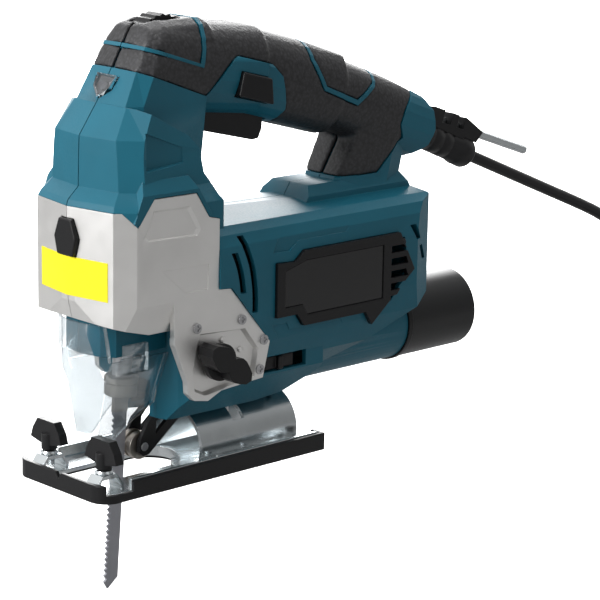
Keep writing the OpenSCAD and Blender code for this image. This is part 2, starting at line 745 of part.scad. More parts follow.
// ---- plunger group ----
plunger_low = 53;
plunger_high = 160;
yoke_z = gear_z - stroke / 2;
module plunger() {
    color(steel) tilted() {
        rod_z(plunger_d, plunger_low - 6, plunger_high, 0, 0);
        difference() {
            block(-2, 5.8, -18, 18, yoke_z - 6.5, yoke_z + 6.5);
            block(2.5, 8, -15, 15, yoke_z - 3.2, yoke_z + 3.2);
        }
    }
}
module upper_bush() { color(copper) tilted() difference() {
    rod_z(14, 145.5, 153.5, 0, 0);
    rod_z(plunger_d + 2 * run_gap, 145, 154, 0, 0);
} }
module lower_bush() { color(copper) tilted() difference() {
    rod_z(14, 76.2, 88, 0, 0);
    rod_z(plunger_d + 2 * run_gap, 76, 89, 0, 0);
} }
clamp_d = 15.6;
module blade_clamp() {
    color(steel) tilted() difference() {
        rod_z(clamp_d, 37.5, 47, 0, 0);
        block(-blade_w / 2 - 0.02, blade_w / 2 + 0.02, -blade_t / 2 - 0.02, blade_t / 2 + 0.02, 36, 46.9);
    }
}
teeth = floor((34 + blade_below - 8) / tooth_pitch);
module blade() {
    color([0.6, 0.61, 0.63]) tilted() side(concat(
        [[blade_w / 2, 46], [blade_w / 2, -blade_below + 5], [-blade_w / 2 + 2.4, -blade_below],
            [-blade_w / 2 + 0.2, -blade_below + 3.4]],
        [for (k = [0 : teeth - 1]) each [[-blade_w / 2 + 1.4, -blade_below + 4.6 + k * tooth_pitch],
            [-blade_w / 2, -blade_below + 6.4 + k * tooth_pitch]]],
        [[-blade_w / 2 + 0.6, 35], [-blade_w / 2, 37.5], [-blade_w / 2, 46]]), -blade_t / 2, blade_t / 2);
}

// ---- roller fork ----
roller_x = 10.6;
roller_z = 12.8;
roller_d = 13;
fork_x = 33;
fork_z = 30;
fork_pin_d = 4;
fork_pin_l = 22;
module fork_cheek() {
    difference() {
        side([[7.4, 10.5], [9.8, 8.4], [13.2, 8.8], [35.6, 26.4], [36, 32], [33, 34], [28, 38],
            [24.5, 37.5], [21, 30], [13, 24], [7.9, 16]],
            -6.4, -4.2);
        side([[17, 17.5], [28, 26.5], [26.5, 31.5], [24, 30.5], [17.5, 23.5]], -7, 0);
    }
}
module roller_fork() {
    color(black) difference() {
        union() {
            both_sides() fork_cheek();
            block(23.8, 27.8, -4.3, 4.3, 33, 36.5);
        }
        rod_y(fork_pin_d + 2 * run_gap, -20, 20, fork_x, fork_z);
        rod_y(4, -20, 20, roller_x, roller_z);
    }
}
module fork_pin() { color(steel) rod_y(fork_pin_d, -fork_pin_l / 2, fork_pin_l / 2, fork_x, fork_z); }
module guide_roller() {
    color(steel) difference() {
        rod_y(roller_d, -3.8, 3.8, roller_x, roller_z);
        rod_y(4 + 2 * run_gap, -20, 20, roller_x, roller_z);
        translate([roller_x, 0, roller_z]) rotate([90, 0, 0]) rotate_extrude()
            translate([roller_d / 2 - 1, -blade_t / 2 - 0.3]) square([2, blade_t + 0.6]);
    }
}
module roller_pin() { color(steel) rod_y(4, -6.8, 6.8, roller_x, roller_z); }

// ---- sole ----
plate_front = -34;
plate_rear = plate_front + plate_l;
cover_floor = 1.7;
corner = 9;
module plate_outline(d) {
    union() {
        translate([plate_front + corner + d, -plate_w / 2 + d]) square([plate_l - corner - 2 * d,
            plate_w - 2 * d]);
        translate([plate_front + d, -plate_w / 2 + corner + d]) square([corner + 1,
            plate_w - 2 * corner - 2 * d]);
        for (s = [-1, 1]) translate([plate_front + corner + d,
            s * (plate_w / 2 - corner - d)]) circle(corner);
    }
}
opening_front = -27;
opening_back = 18;
module opening_outline(d) {
    translate([opening_front - d, -opening_r - d]) square([opening_back - opening_front + d,
        2 * opening_r + 2 * d]);
    translate([opening_back, 0]) circle(opening_r + d);
}
guide_x = -23.5;
guide_y = 19.5;
guide_w = 12;
guide_h = 5;
slot_half = guide_w / 2 + 1;
module guide_channel() {
    block(guide_x - slot_half, guide_x + slot_half, -far, far, cover_floor + sheet_t, 30);
}
module shoe_cover() {
    color(black) difference() {
        linear_extrude(rim_h) plate_outline(0);
        translate([0, 0, cover_floor]) linear_extrude(rim_h) plate_outline(2);
        translate([0, 0, -1]) linear_extrude(20) opening_outline(2);
        guide_channel();
        block(50, 70, -6, 6, -1, 20);
        // front sight notch
        front([[-3, 10], [3, 10], [0, 5.5]], plate_front - 1, plate_front + 3);
        block(plate_rear - 3, plate_rear + 1, -24, 24, cover_floor, 20);
    }
}
module base_plate() {
    color(zinc) difference() {
        union() {
            translate([0, 0, cover_floor]) linear_extrude(sheet_t) plate_outline(2.05);
            // turned-up edges
            both_sides() difference() {
                block(plate_front + 12, plate_rear - 3, -plate_w / 2 + 2.05, -plate_w / 2 + 4.05,
                    cover_floor, rim_h + 0.5);
                block(guide_x - slot_half, guide_x + slot_half, -far, 0, cover_floor + sheet_t, 30);
            }
            // raised lip round the back of the opening
            intersection() {
                translate([opening_back, 0, cover_floor]) cylinder(r = opening_r + 2, h = 5);
                block(opening_back + 3, opening_back + 20, -20, 20, 0, 20);
            }
        }
        translate([0, 0, -1]) linear_extrude(20) opening_outline(0);
        block(52, 68, -4, 4, -1, 20);
    }
}
sheet_top = cover_floor + sheet_t;
arch_x0 = 35;
arch_x1 = 94;
module tilt_bracket() {
    color(zinc) difference() {
        union() {
            intersection() {
                rod_x(2 * arch_r, arch_x0, arch_x1, 0, tilt_z);
                block(arch_x0, arch_x1, -far, far, sheet_top, 60);
            }
            both_sides() block(arch_x0, arch_x1, -arch_r - 7, -arch_r + 1.2, sheet_top, sheet_top + 1.8);
            both_sides() for (x = [42, 64, 86]) rod_z(4, sheet_top + 1, sheet_top + 2.8, x, -arch_r - 3.6);
        }
        rod_x(2 * arch_r - 4, arch_x0 - 1, arch_x1 + 1, 0, tilt_z);
        // curved slot that the bevel screw passes through
        intersection() {
            rod_x(2 * arch_r + 10, 56.5, 63.5, 0, tilt_z);
            front([[0, tilt_z], [-60, tilt_z + 42], [-60, 90], [60, 90], [60, tilt_z + 42]], 50, 70);
        }
    }
}
module bridge_form(w, h, t) {
    polygon([[-w / 2 - t, 0], [-w / 2 - t, h - 3], [-w / 2 + 2, h + t], [w / 2 - 2, h + t],
        [w / 2 + t, h - 3], [w / 2 + t, 0]]);
}
module guide_clamps() {
    color(zinc) for (s = [-1, 1]) difference() {
        translate([guide_x, s * guide_y + 4.2, sheet_top]) rotate([90, 0,
            0]) linear_extrude(8.4) difference() {
            bridge_form(guide_w, guide_h, 1.8);
            translate([0, -0.01]) bridge_form(guide_w, guide_h, 0);
        }
        rod_z(5 + 2 * run_gap, 0, 40, guide_x, s * guide_y);
    }
}
module wing_screw() {
    color(black) {
        rod_z(7.4, sheet_top + 9.2, sheet_top + 16.5, 0, 0);
        translate([0, 0, sheet_top])
            front([[-4, 11.5], [-11, 13], [-9.5, 17.5], [-6, 22.5], [6, 22.5], [9.5, 17.5], [11, 13],
                [4, 11.5]],
                -2.2, 2.2);
    }
    color(steel) rod_z(5, sheet_top + 4.6, sheet_top + 10, 0, 0);
}
module left_wing_screw() { translate([guide_x, -guide_y, 0]) wing_screw(); }
module right_wing_screw() { translate([guide_x, guide_y, 0]) wing_screw(); }
module bevel_screw() {
    color(steel) {
        rod_z(5, 19, 33, 60, 0);
        difference() {
            rod_z(10, 18.2, 22.5, 60, 0);
            rod_z(4.6, 17, 20, 60, 0);
        }
    }
}

// ---- fasteners ----
module housing_screws() {
    color(steel) for (p = screw_places) rod_y(screw_head, p[2], p[2] + 2, sx(p[0]), sz(p[1]));
}
module cover_screws() {
    color(steel) for (p = bolt_places) {
        rod_y(4.6, -cover_w - 1, -cover_w, p[0], p[1]);
        rod_y(2.9, -cover_w, -foot_w, p[0], p[1]);
    }
}

// ---- cord ----
sleeve_neck_d = 14.4;
sleeve_start = [sx(184), 0, sz(139)];
sleeve_dir = 112.6;      // turn about Y from straight up
module sleeve_place() { translate(sleeve_start) rotate([0, sleeve_dir, 0]) children(); }
sleeve_l = 45.5;
module cord_sleeve() {
    color(black) sleeve_place() difference() {
        union() {
            rod_z(14, -16, 34, 0, 0);
            translate([0, 0, 33]) cylinder(d1 = 14, d2 = 15.6, h = 1.5);
            translate([0, 0, 34.5]) cylinder(d = 15.6, h = 7);
            translate([0, 0, 41.5]) cylinder(d1 = 15.6, d2 = 9, h = sleeve_l - 41.5);
        }
        rod_z(cord_d + 0.1, -17, sleeve_l - 14, 0, 0);
    }
}
module cord_clamp() {
    color([0.3, 0.3, 0.32]) sleeve_place() difference() {
        translate([-4.5, -9, -22]) cube([9, 18, 5.5]);
        rod_z(cord_d + 0.1, -23, -16, 0, 0);
    }
}
key_turn = 109;
module key_place() { translate([sx(196), 0, sz(144)]) rotate([0, key_turn, 0]) children(); }
module key_holder() {
    color(black) difference() {
        side([for (p = [[191, 150], [196, 149.5], [219, 141.5], [231, 133], [224, 126.4], [214, 130.7],
            [194.5, 138.8], [190, 141]])
            [sx(p[0]), sz(p[1])]], -5, 5);
        sleeve_place() rod_z(14.1, -30, 60, 0, 0);
        sleeve_place() rod_z(15.8, 33.5, 60, 0, 0);
        key_place() rod_z(4.62 + 2 * run_gap, -60, 90, 0, 0);
        key_place() translate([-2.45, 0, -4]) cube([4.9, 40, 60]);
        key_place() block(-6, 1, -6, 6, 6, 12);
        key_place() block(-6, 1, -6, 6, 17, 22);
    }
}
module hex_key() {
    color(steel) key_place() {
        cylinder(d = 4.6, h = 76, $fn = 6);
        translate([0, 1.5, 0]) rotate([-90, 0, 0]) cylinder(d = 4.6, h = 18, $fn = 6);
    }
}
floor_z = -56;
coil_x = 398;
coil_y = -35;
coil_mid = 35;
coil_half = 9;
coil_h = 16.4;
route = [[226, 0, 121.5], [243, 0, 114.5], [260, 0, 107.5], [277, 0, 100.5], [294, 0, 93.5],
    [311, 0, 86.5], [328, 0, 79],
    [340, 0, 72], [350, 0, 63], [357, 0, 52], [362, 0, 39], [364, 0, 25], [364, 0, 9], [364, 0, -8],
        [366, 0, -19],
    [371, 0, -29], [379, 0, -36.5], [388, 0, -41], [398, 0, -42.6]];
cord_sides = 10;
function way(i) = let (a = route[max(0, i - 1)], b = route[min(len(route) - 1, i + 1)]) atan2(b[2] - a[2],
    b[0] - a[0]);
module cord() {
    color(black) loft([for (i = [0 : len(route) - 1]) let (w = way(i))
        [for (k = [0 : cord_sides - 1]) let (a = 360 * k / cord_sides, u = cord_d / 2 * cos(a),
            v = cord_d / 2 * sin(a))
            [route[i][0] - v * sin(w), route[i][1] + u, route[i][2] + v * cos(w)]]]);
}
module cord_coil() {
    color(black) translate([coil_x, coil_y, floor_z]) rotate_extrude()
        translate([coil_mid - coil_half, 0]) polygon([[2, 0], [2 * coil_half - 2, 0], [2 * coil_half, 2],
            [2 * coil_half, coil_h - 2], [2 * coil_half - 2, coil_h], [2, coil_h], [0, coil_h - 2], [0, 2]]);
}
plug_z = floor_z + coil_h;
plug_y = -58;
module plug() {
    color(black) {
        translate([0, 0, plug_z]) linear_extrude(24) polygon([[372, plug_y - 6], [384, plug_y - 12],
            [400, plug_y - 18], [418, plug_y - 18],
            [418, plug_y + 18], [400, plug_y + 18], [384, plug_y + 12], [372, plug_y + 6]]);
    }
    color(steel) for (s = [-1, 1]) rod_x(4.8, 418, 437, plug_y + s * 9.5, plug_z + 12);
}

left_housing();
right_housing();
left_grip();
right_grip();
left_gear_cover();
right_gear_cover();
left_badge();
right_badge();
light_window();
light_module();
front_button();
speed_dial();
control_board();
lock_button();
trigger();
trigger_pin();
switch_block();
pendulum_knob();
pendulum_shaft();
blower_slider();
dust_pipe();
dust_ring();
blade_guard();
stator();
armature_core();
armature_shaft();
commutator();
cooling_fan();
front_bearing();
rear_bearing();
carbon_brushes();
brush_holders();
bearing_plate();
drive_gear();
gear_pin();
plunger();
upper_bush();
lower_bush();
blade_clamp();
blade();
roller_fork();
fork_pin();
guide_roller();
roller_pin();
base_plate();
shoe_cover();
tilt_bracket();
guide_clamps();
left_wing_screw();
right_wing_screw();
bevel_screw();
housing_screws();
cover_screws();
cord_sleeve();
cord_clamp();
key_holder();
hex_key();
cord();
cord_coil();
plug();
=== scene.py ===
"""Looks of the jigsaw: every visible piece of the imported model, dressed and lit."""

import json
import logging
import math
from dataclasses import dataclass, field
from enum import Enum

import bmesh
import bpy
from mathutils import Matrix, Vector


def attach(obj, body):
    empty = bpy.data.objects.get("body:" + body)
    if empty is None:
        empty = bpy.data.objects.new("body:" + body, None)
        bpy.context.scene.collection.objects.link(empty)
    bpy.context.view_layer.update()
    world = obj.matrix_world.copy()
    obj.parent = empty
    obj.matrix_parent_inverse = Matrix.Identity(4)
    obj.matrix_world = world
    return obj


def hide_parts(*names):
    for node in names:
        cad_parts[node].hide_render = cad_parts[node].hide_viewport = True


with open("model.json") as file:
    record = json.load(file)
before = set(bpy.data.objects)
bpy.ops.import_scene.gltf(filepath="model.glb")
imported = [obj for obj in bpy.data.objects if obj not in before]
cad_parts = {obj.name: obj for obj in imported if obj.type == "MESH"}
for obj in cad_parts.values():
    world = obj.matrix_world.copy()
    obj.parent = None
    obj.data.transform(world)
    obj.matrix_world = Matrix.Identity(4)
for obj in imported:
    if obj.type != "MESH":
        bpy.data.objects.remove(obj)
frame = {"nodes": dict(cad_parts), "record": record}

log = logging.getLogger("jigsaw")
MM = 0.001
Outline = list[tuple[float, float]]


class Axis(Enum):
    """The direction an outline is drawn out along."""

    X = 0
    Y = 1
    Z = 2


class Half(Enum):
    """Left or right half of the tool, as the sign of Y."""

    LEFT = -1
    RIGHT = 1


class Cut(Enum):
    """How a tool shape is combined with a piece."""

    TAKE = "DIFFERENCE"
    JOIN = "UNION"
    KEEP = "INTERSECT"


# ---------------------------------------------------------------- shapes


def linked(name: str, data: bpy.types.ID) -> bpy.types.Object:
    """Makes an object of some data and puts it in the scene.

    Args:
        name: name of the object.
        data: mesh, camera or lamp.

    Returns:
        The object, at the origin.
    """
    made = bpy.data.objects.new(name, data)
    bpy.context.scene.collection.objects.link(made)
    return made


def as_meshed(name: str, shape: bmesh.types.BMesh) -> bpy.types.Object:
    """Turns a bmesh into an object as it is.

    Args:
        name: name of the piece.
        shape: shape in metres, freed here.

    Returns:
        The new object.
    """
    mesh = bpy.data.meshes.new(name)
    shape.to_mesh(mesh)
    shape.free()
    return linked(name, mesh)


def new_piece(name: str, shape: bmesh.types.BMesh) -> bpy.types.Object:
    """Turns a closed bmesh into an object with its faces pointing outwards.

    Args:
        name: name of the piece.
        shape: closed shape in metres, freed here.

    Returns:
        The new object.
    """
    bmesh.ops.remove_doubles(shape, verts=shape.verts, dist=1e-6)
    bmesh.ops.recalc_face_normals(shape, faces=shape.faces)
    return as_meshed(name, shape)


def prism(
    name: str, outline: Outline, axis: Axis, low: float, high: float, flare: float = 0.0
) -> bpy.types.Object:
    """Draws an outline out along an axis, in millimetres.

    Args:
        name: name of the piece.
        outline: points in the two other axes, in X, Y, Z order.
        axis: direction of the prism.
        low: where it starts.
        high: where it ends.
        flare: how much wider the outline is at the low end, all round.

    Returns:
        The closed prism.
    """
    shape = bmesh.new()
    cu = sum(p[0] for p in outline) / len(outline)
    cv = sum(p[1] for p in outline) / len(outline)
    rings = []
    for level, grown in ((low, flare), (high, 0.0)):
        ring = []
        for u, v in outline:
            reach = max(math.hypot(u - cu, v - cv), 1e-6)
            point = [u + (u - cu) * grown / reach, v + (v - cv) * grown / reach]
            point.insert(axis.value, level)
            ring.append(shape.verts.new(Vector(point) * MM))
        rings.append(ring)
    count = len(outline)
    shape.faces.new(rings[0])
    shape.faces.new(rings[1])
    for i in range(count):
        j = (i + 1) % count
        shape.faces.new((rings[0][i], rings[0][j], rings[1][j], rings[1][i]))
    return new_piece(name, shape)


def turned(
    name: str, profile: Outline, centre: Vector, along: Vector, sides: int = 64
) -> bpy.types.Object:
    """Turns a profile about a line, as on a lathe.

    Args:
        name: name of the piece.
        profile: distance along the line and radius, in millimetres, from one end to the other.
        centre: where the line starts, in millimetres.
        along: direction of the line.
        sides: points in each round.

    Returns:
        The closed turned piece.
    """
    turn = Vector((0, 0, 1)).rotation_difference(along.normalized()).to_matrix()
    shape = bmesh.new()
    rings = []
    for height, radius in profile:
        if radius <= 0:
            rings.append([shape.verts.new((centre + turn @ Vector((0, 0, height))) * MM)])
            continue
        ring = []
        for k in range(sides):
            a = math.tau * k / sides
            spot = Vector((radius * math.cos(a), radius * math.sin(a), height))
            ring.append(shape.verts.new((centre + turn @ spot) * MM))
        rings.append(ring)
    for one, two in zip(rings, rings[1:]):
        for k in range(sides):
            quad = [
                one[k % len(one)],
                one[(k + 1) % len(one)],
                two[(k + 1) % len(two)],
                two[k % len(two)],
            ]
            corners = list(dict.fromkeys(quad))
            if len(corners) > 2:
                shape.faces.new(corners)
    return new_piece(name, shape)


def tube(name: str, path: list[Vector], radius: float, sides: int = 14) -> bpy.types.Object:
    """Sweeps a circle along a path.

    Args:
        name: name of the piece.
        path: points in metres.
        radius: radius in metres.
        sides: points in each round.

    Returns:
        The tube, closed at both ends.
    """
    shape = bmesh.new()
    side = Vector((0, 1, 0))
    rings = []
    for i, point in enumerate(path):
        ahead = (path[min(i + 1, len(path) - 1)] - path[max(i - 1, 0)]).normalized()
        side = (side - ahead * side.dot(ahead)).normalized()
        up = ahead.cross(side)
        ring = []
        for k in range(sides):
            a = math.tau * k / sides
            ring.append(shape.verts.new(point + radius * (math.cos(a) * side + math.sin(a) * up)))
        rings.append(ring)
    for one, two in zip(rings, rings[1:]):
        for k in range(sides):
            shape.faces.new((one[k], one[(k + 1) % sides], two[(k + 1) % sides], two[k]))
    shape.faces.new(rings[0])
    shape.faces.new(rings[-1])
    return new_piece(name, shape)


def cad_copy(node: str, name: str) -> bpy.types.Object:
    """Copies a node of the frame and merges its triangles into clean flat faces.

    Args:
        node: the node's name.
        name: name of the copy.

    Returns:
        The copy, as a piece of its own.
    """
    shape = bmesh.new()
    shape.from_mesh(frame["nodes"][node].data)
    bmesh.ops.remove_doubles(shape, verts=shape.verts, dist=2e-6)
    flat = math.radians(0.5)
    bmesh.ops.dissolve_limit(shape, angle_limit=flat, verts=shape.verts, edges=shape.edges)
    return as_meshed(name, shape)


def bake_shape(piece: bpy.types.Object) -> None:
    """Makes a piece's live modifiers part of its mesh.

    Args:
        piece: the piece that is changed.
    """
    bpy.context.view_layer.update()
    seen = piece.evaluated_get(bpy.context.evaluated_depsgraph_get())
    mesh = bpy.data.meshes.new_from_object(seen)
    piece.modifiers.clear()
    piece.data = mesh


def combine(piece: bpy.types.Object, tools: list[bpy.types.Object], cut: Cut) -> None:
    """Cuts or joins tool shapes into a piece, one after the other, and drops them.

    Args:
        piece: the piece that is changed.
        tools: closed shapes.
        cut: what is done with them.
    """
    for tool in tools:
        step = piece.modifiers.new("combine", "BOOLEAN")
        step.operation = cut.value
        step.solver = "EXACT"
        step.object = tool
        bake_shape(piece)
        bpy.data.objects.remove(tool)


def soften(
    piece: bpy.types.Object, width: float, steps: int = 2, angle: float = 32.0
) -> bpy.types.Object:
    """Rounds a piece's edges with a live bevel and shades its curves smooth.

    Args:
        piece: the piece.
        width: width of the rounding in millimetres, or 0 for none.
        steps: number of faces across it.
        angle: edges sharper than this, in degrees, are rounded.

    Returns:
        The same piece.
    """
    mesh = piece.data
    mesh.polygons.foreach_set("use_smooth", [True] * len(mesh.polygons))
    mesh.set_sharp_from_angle(angle=math.radians(angle))
    if width > 0:
        edge = piece.modifiers.new("edges", "BEVEL")
        edge.width = width * MM
        edge.segments = steps
        edge.limit_method = "ANGLE"
        edge.angle_limit = math.radians(angle)
        edge.harden_normals = True
    return piece


def pocket(
    name: str, outline: Outline, half: Half, surface: float, depth: float, lip: float = 0.0
) -> bpy.types.Object:
    """Makes the tool that sinks a flat-bottomed panel into one side.

    Args:
        name: name of the tool.
        outline: outline of the panel's floor in X and Z.
        half: the side that is cut.
        surface: distance of the side's surface from the centre plane.
        depth: depth of the panel.
        lip: how much wider the panel is at its mouth, all round.

    Returns:
        The cutting tool.
    """
    reach = 20.0
    flare = lip * (reach + depth) / depth
    tool = prism(name, outline, Axis.Y, -surface - reach, depth - surface, flare)
    if half is Half.RIGHT:
        tool.data.transform(Matrix.Scale(-1, 4, Vector((0, 1, 0))))
        tool.data.flip_normals()
    return tool


def open_seam(piece: bpy.types.Object, half: Half, gap: float) -> None:
    """Moves a half's points on the centre plane outwards, so that a parting line shows.

    Args:
        piece: one half.
        half: which half it is.
        gap: distance in millimetres.
    """
    for v in piece.data.vertices:
        if abs(v.co.y) < gap * MM:
            v.co.y = half.value * gap * MM


def body_of(node: str) -> str:
    """Name of the body that a node belongs to."""
    bodies = frame["record"]["behaviour"]["bodies"]
    return next(body for body, members in bodies.items() if node in members)


def settle(
    piece: bpy.types.Object, material: bpy.types.Material, node: str, stands_for: bool = True
) -> bpy.types.Object:
    """Gives a finished piece its material and ties it to the frame.

    Args:
        piece: the piece.
        material: its finish.
        node: the node whose body it shares.
        stands_for: whether it is shown in the node's place.

    Returns:
        The same piece.
    """
    piece.data.materials.clear()
    piece.data.materials.append(material)
    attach(piece, body_of(node))
    if stands_for:
        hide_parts(node)
    log.info("%s: %d faces", piece.name, len(piece.data.polygons))
    return piece


def dress(
    node: str, material: bpy.types.Material, width: float, steps: int = 2, tag: str = "dressed"
) -> bpy.types.Object:
    """Shows a node in its own shape, with rounded edges and a finish.

    Args:
        node: the node's name.
        material: its finish.
        width: width of the rounding in millimetres.
        steps: number of faces across it.
        tag: last word of the piece's name.

    Returns:
        The dressed piece.
    """
    return settle(soften(cad_copy(node, f"{node}_{tag}"), width, steps), material, node)


# ---------------------------------------------------------------- finishes


def linear(shade: str) -> tuple[float, float, float, float]:
    """Turns an sRGB hex value into a linear colour.

    Args:
        shade: six hex digits after a hash.

    Returns:
        Linear red, green, blue and alpha 1.
    """
    parts = [int(shade[i : i + 2], 16) / 255 for i in (1, 3, 5)]
    red, green, blue = (c / 12.92 if c <= 0.04045 else ((c + 0.055) / 1.055) ** 2.4 for c in parts)
    return red, green, blue, 1.0


def add(
    tree: bpy.types.NodeTree, kind: str, inputs: dict | None = None, **settings: object
) -> bpy.types.Node:
    """Adds a node, sets it and links it.

    Args:
        tree: the tree it goes in.
        kind: the node's type.
        inputs: socket name or number, with a value or the output that feeds it.
        **settings: attributes of the node.

    Returns:
        The new node.
    """
    made = tree.nodes.new(kind)
    for key, value in settings.items():
        setattr(made, key, value)
    for key, value in (inputs or {}).items():
        if isinstance(value, bpy.types.NodeSocket):
            tree.links.new(value, made.inputs[key])
        else:
            made.inputs[key].default_value = value
    return made


def per_metre(size_mm: float) -> float:
    """How many features of a size lie in a metre, which is a texture's scale."""
    return 1 / (size_mm * MM)


def blank(
    name: str,
) -> tuple[bpy.types.Material, bpy.types.NodeTree, bpy.types.Node, bpy.types.NodeSocket]:
    """Starts a material.

    Args:
        name: its name.

    Returns:
        The material, its tree, its surface shader and the object coordinates.
    """
    material = bpy.data.materials.new(name)
    material.use_nodes = True
    tree = material.node_tree
    tree.nodes.clear()
    shader = add(tree, "ShaderNodeBsdfPrincipled")
    add(tree, "ShaderNodeOutputMaterial", {"Surface": shader.outputs["BSDF"]})
    return material, tree, shader, add(tree, "ShaderNodeTexCoord").outputs["Object"]


def mottled(
    tree: bpy.types.NodeTree,
    place: bpy.types.NodeSocket,
    shade: str,
    spread: float,
    size_mm: float,
    detail: float,
) -> tuple[bpy.types.NodeSocket, bpy.types.NodeSocket]:
    """Lays slow, faint changes of tone over a colour.

    Args:
        tree: the material's tree.
        place: object coordinates.
        shade: the colour, as six hex digits after a hash.
        spread: how far the tone goes each way, as a share.
        size_mm: width of a cloud.
        detail: how broken up they are.

    Returns:
        The clouds' value and the colour.
    """
    cloud = add(tree, "ShaderNodeTexNoise", {
        "Vector": place, "Scale": per_metre(size_mm), "Detail": detail})
    tone = add(tree, "ShaderNodeValToRGB", {"Fac": cloud.outputs["Fac"]})
    base = linear(shade)[:3]
    dark, light = tone.color_ramp.elements[0], tone.color_ramp.elements[1]
    dark.position, light.position = 0.3, 0.7
    dark.color = [c * (1 - spread) for c in base] + [1]
    light.color = [min(1, c * (1 + spread)) for c in base] + [1]
    return cloud.outputs["Fac"], tone.outputs["Color"]


@dataclass(frozen=True)
class MouldedPlastic:
    """Injection-moulded plastic from a spark-eroded tool: an even matt grain, soft highlights."""

    name: str
    shade: str
    roughness: float = 0.42
    grain_mm: float = 0.9
    depth_mm: float = 0.012
    edge_mm: float = 0.45
    ior: float = 1.53
    gloss: float = 0.3
    mottle: float = 0.05
    mottle_mm: float = 22.2

    def make(self) -> bpy.types.Material:
        """Builds the material.

        Returns:
            The material, with its grain in relief and its edges rounded in the shading.
        """
        material, tree, shader, place = blank(self.name)
        grain = add(tree, "ShaderNodeTexNoise", {
            "Vector": place, "Scale": per_metre(self.grain_mm), "Detail": 3.0})
        tone = mottled(tree, place, self.shade, self.mottle, self.mottle_mm, 2.0)[1]
        gloss = add(tree, "ShaderNodeMapRange", {
            "Value": grain.outputs["Fac"], "From Min": 0.3, "From Max": 0.7,
            "To Min": self.roughness - 0.04, "To Max": self.roughness + 0.06})
        edge = add(tree, "ShaderNodeBevel", {"Radius": self.edge_mm * MM}, samples=4)
        bump = add(tree, "ShaderNodeBump", {
            "Height": grain.outputs["Fac"], "Distance": self.depth_mm * MM,
            "Normal": edge.outputs["Normal"]})
        shader.inputs["IOR"].default_value = self.ior
        shader.inputs["Specular IOR Level"].default_value = self.gloss
        tree.links.new(tone, shader.inputs["Base Color"])
        tree.links.new(gloss.outputs["Result"], shader.inputs["Roughness"])
        tree.links.new(bump.outputs["Normal"], shader.inputs["Normal"])
        return material


@dataclass(frozen=True)
class PebbledRubber:
    """Overmoulded thermoplastic rubber with a leather-like texture: dull, its pebble tops painted
    lighter grey as a highlight.
    """

    name: str
    shade: str
    # painted highlight: the lighter grey given to each pebble's top, in place of its shine
    painted_pebble_highlight: str
    pebble_mm: float = 1.5
    depth_mm: float = 0.16
    roughness: float = 0.62
    # how far, and over what length, the pebbles' outlines wander from round
    wander_mm: float = 1.6
    warp_mm: float = 3.85
    fine_mm: float = 0.417
    edge_mm: float = 0.5

    def make(self) -> bpy.types.Material:
        """Builds the material.

        Returns:
            The material, with its pebbles in relief.
        """
        material, tree, shader, place = blank(self.name)
        warp = add(tree, "ShaderNodeTexNoise", {
            "Vector": place, "Scale": per_metre(self.warp_mm), "Detail": 2.0})
        moved = add(tree, "ShaderNodeVectorMath", {
            0: warp.outputs["Color"], "Scale": self.wander_mm * MM}, operation="SCALE")
        spot = add(tree, "ShaderNodeVectorMath", {
            0: place, 1: moved.outputs["Vector"]}, operation="ADD")
        pebble = add(tree, "ShaderNodeTexVoronoi", {
            "Vector": spot.outputs["Vector"], "Scale": per_metre(self.pebble_mm),
            "Smoothness": 0.6}, feature="SMOOTH_F1")
        fine = add(tree, "ShaderNodeTexNoise", {
            "Vector": place, "Scale": per_metre(self.fine_mm), "Detail": 3.0})
        height = add(tree, "ShaderNodeMath", {
            0: fine.outputs["Fac"], 1: 0.35, 2: pebble.outputs["Distance"]},
            operation="MULTIPLY_ADD")
        # painted highlight: pebble tops get the lighter grey, the gaps keep the rubber's own black
        tone = add(tree, "ShaderNodeValToRGB", {"Fac": pebble.outputs["Distance"]})
        top, gap = tone.color_ramp.elements[0], tone.color_ramp.elements[1]
        top.position, gap.position = 0.15, 0.75
        top.color, gap.color = linear(self.painted_pebble_highlight), linear(self.shade)
        edge = add(tree, "ShaderNodeBevel", {"Radius": self.edge_mm * MM}, samples=4)
        bump = add(tree, "ShaderNodeBump", {
            "Height": height.outputs["Value"], "Distance": self.depth_mm * MM,
            "Normal": edge.outputs["Normal"]}, invert=True)
        shader.inputs["Roughness"].default_value = self.roughness
        shader.inputs["IOR"].default_value = 1.52
        tree.links.new(tone.outputs["Color"], shader.inputs["Base Color"])
        tree.links.new(bump.outputs["Normal"], shader.inputs["Normal"])
        return material


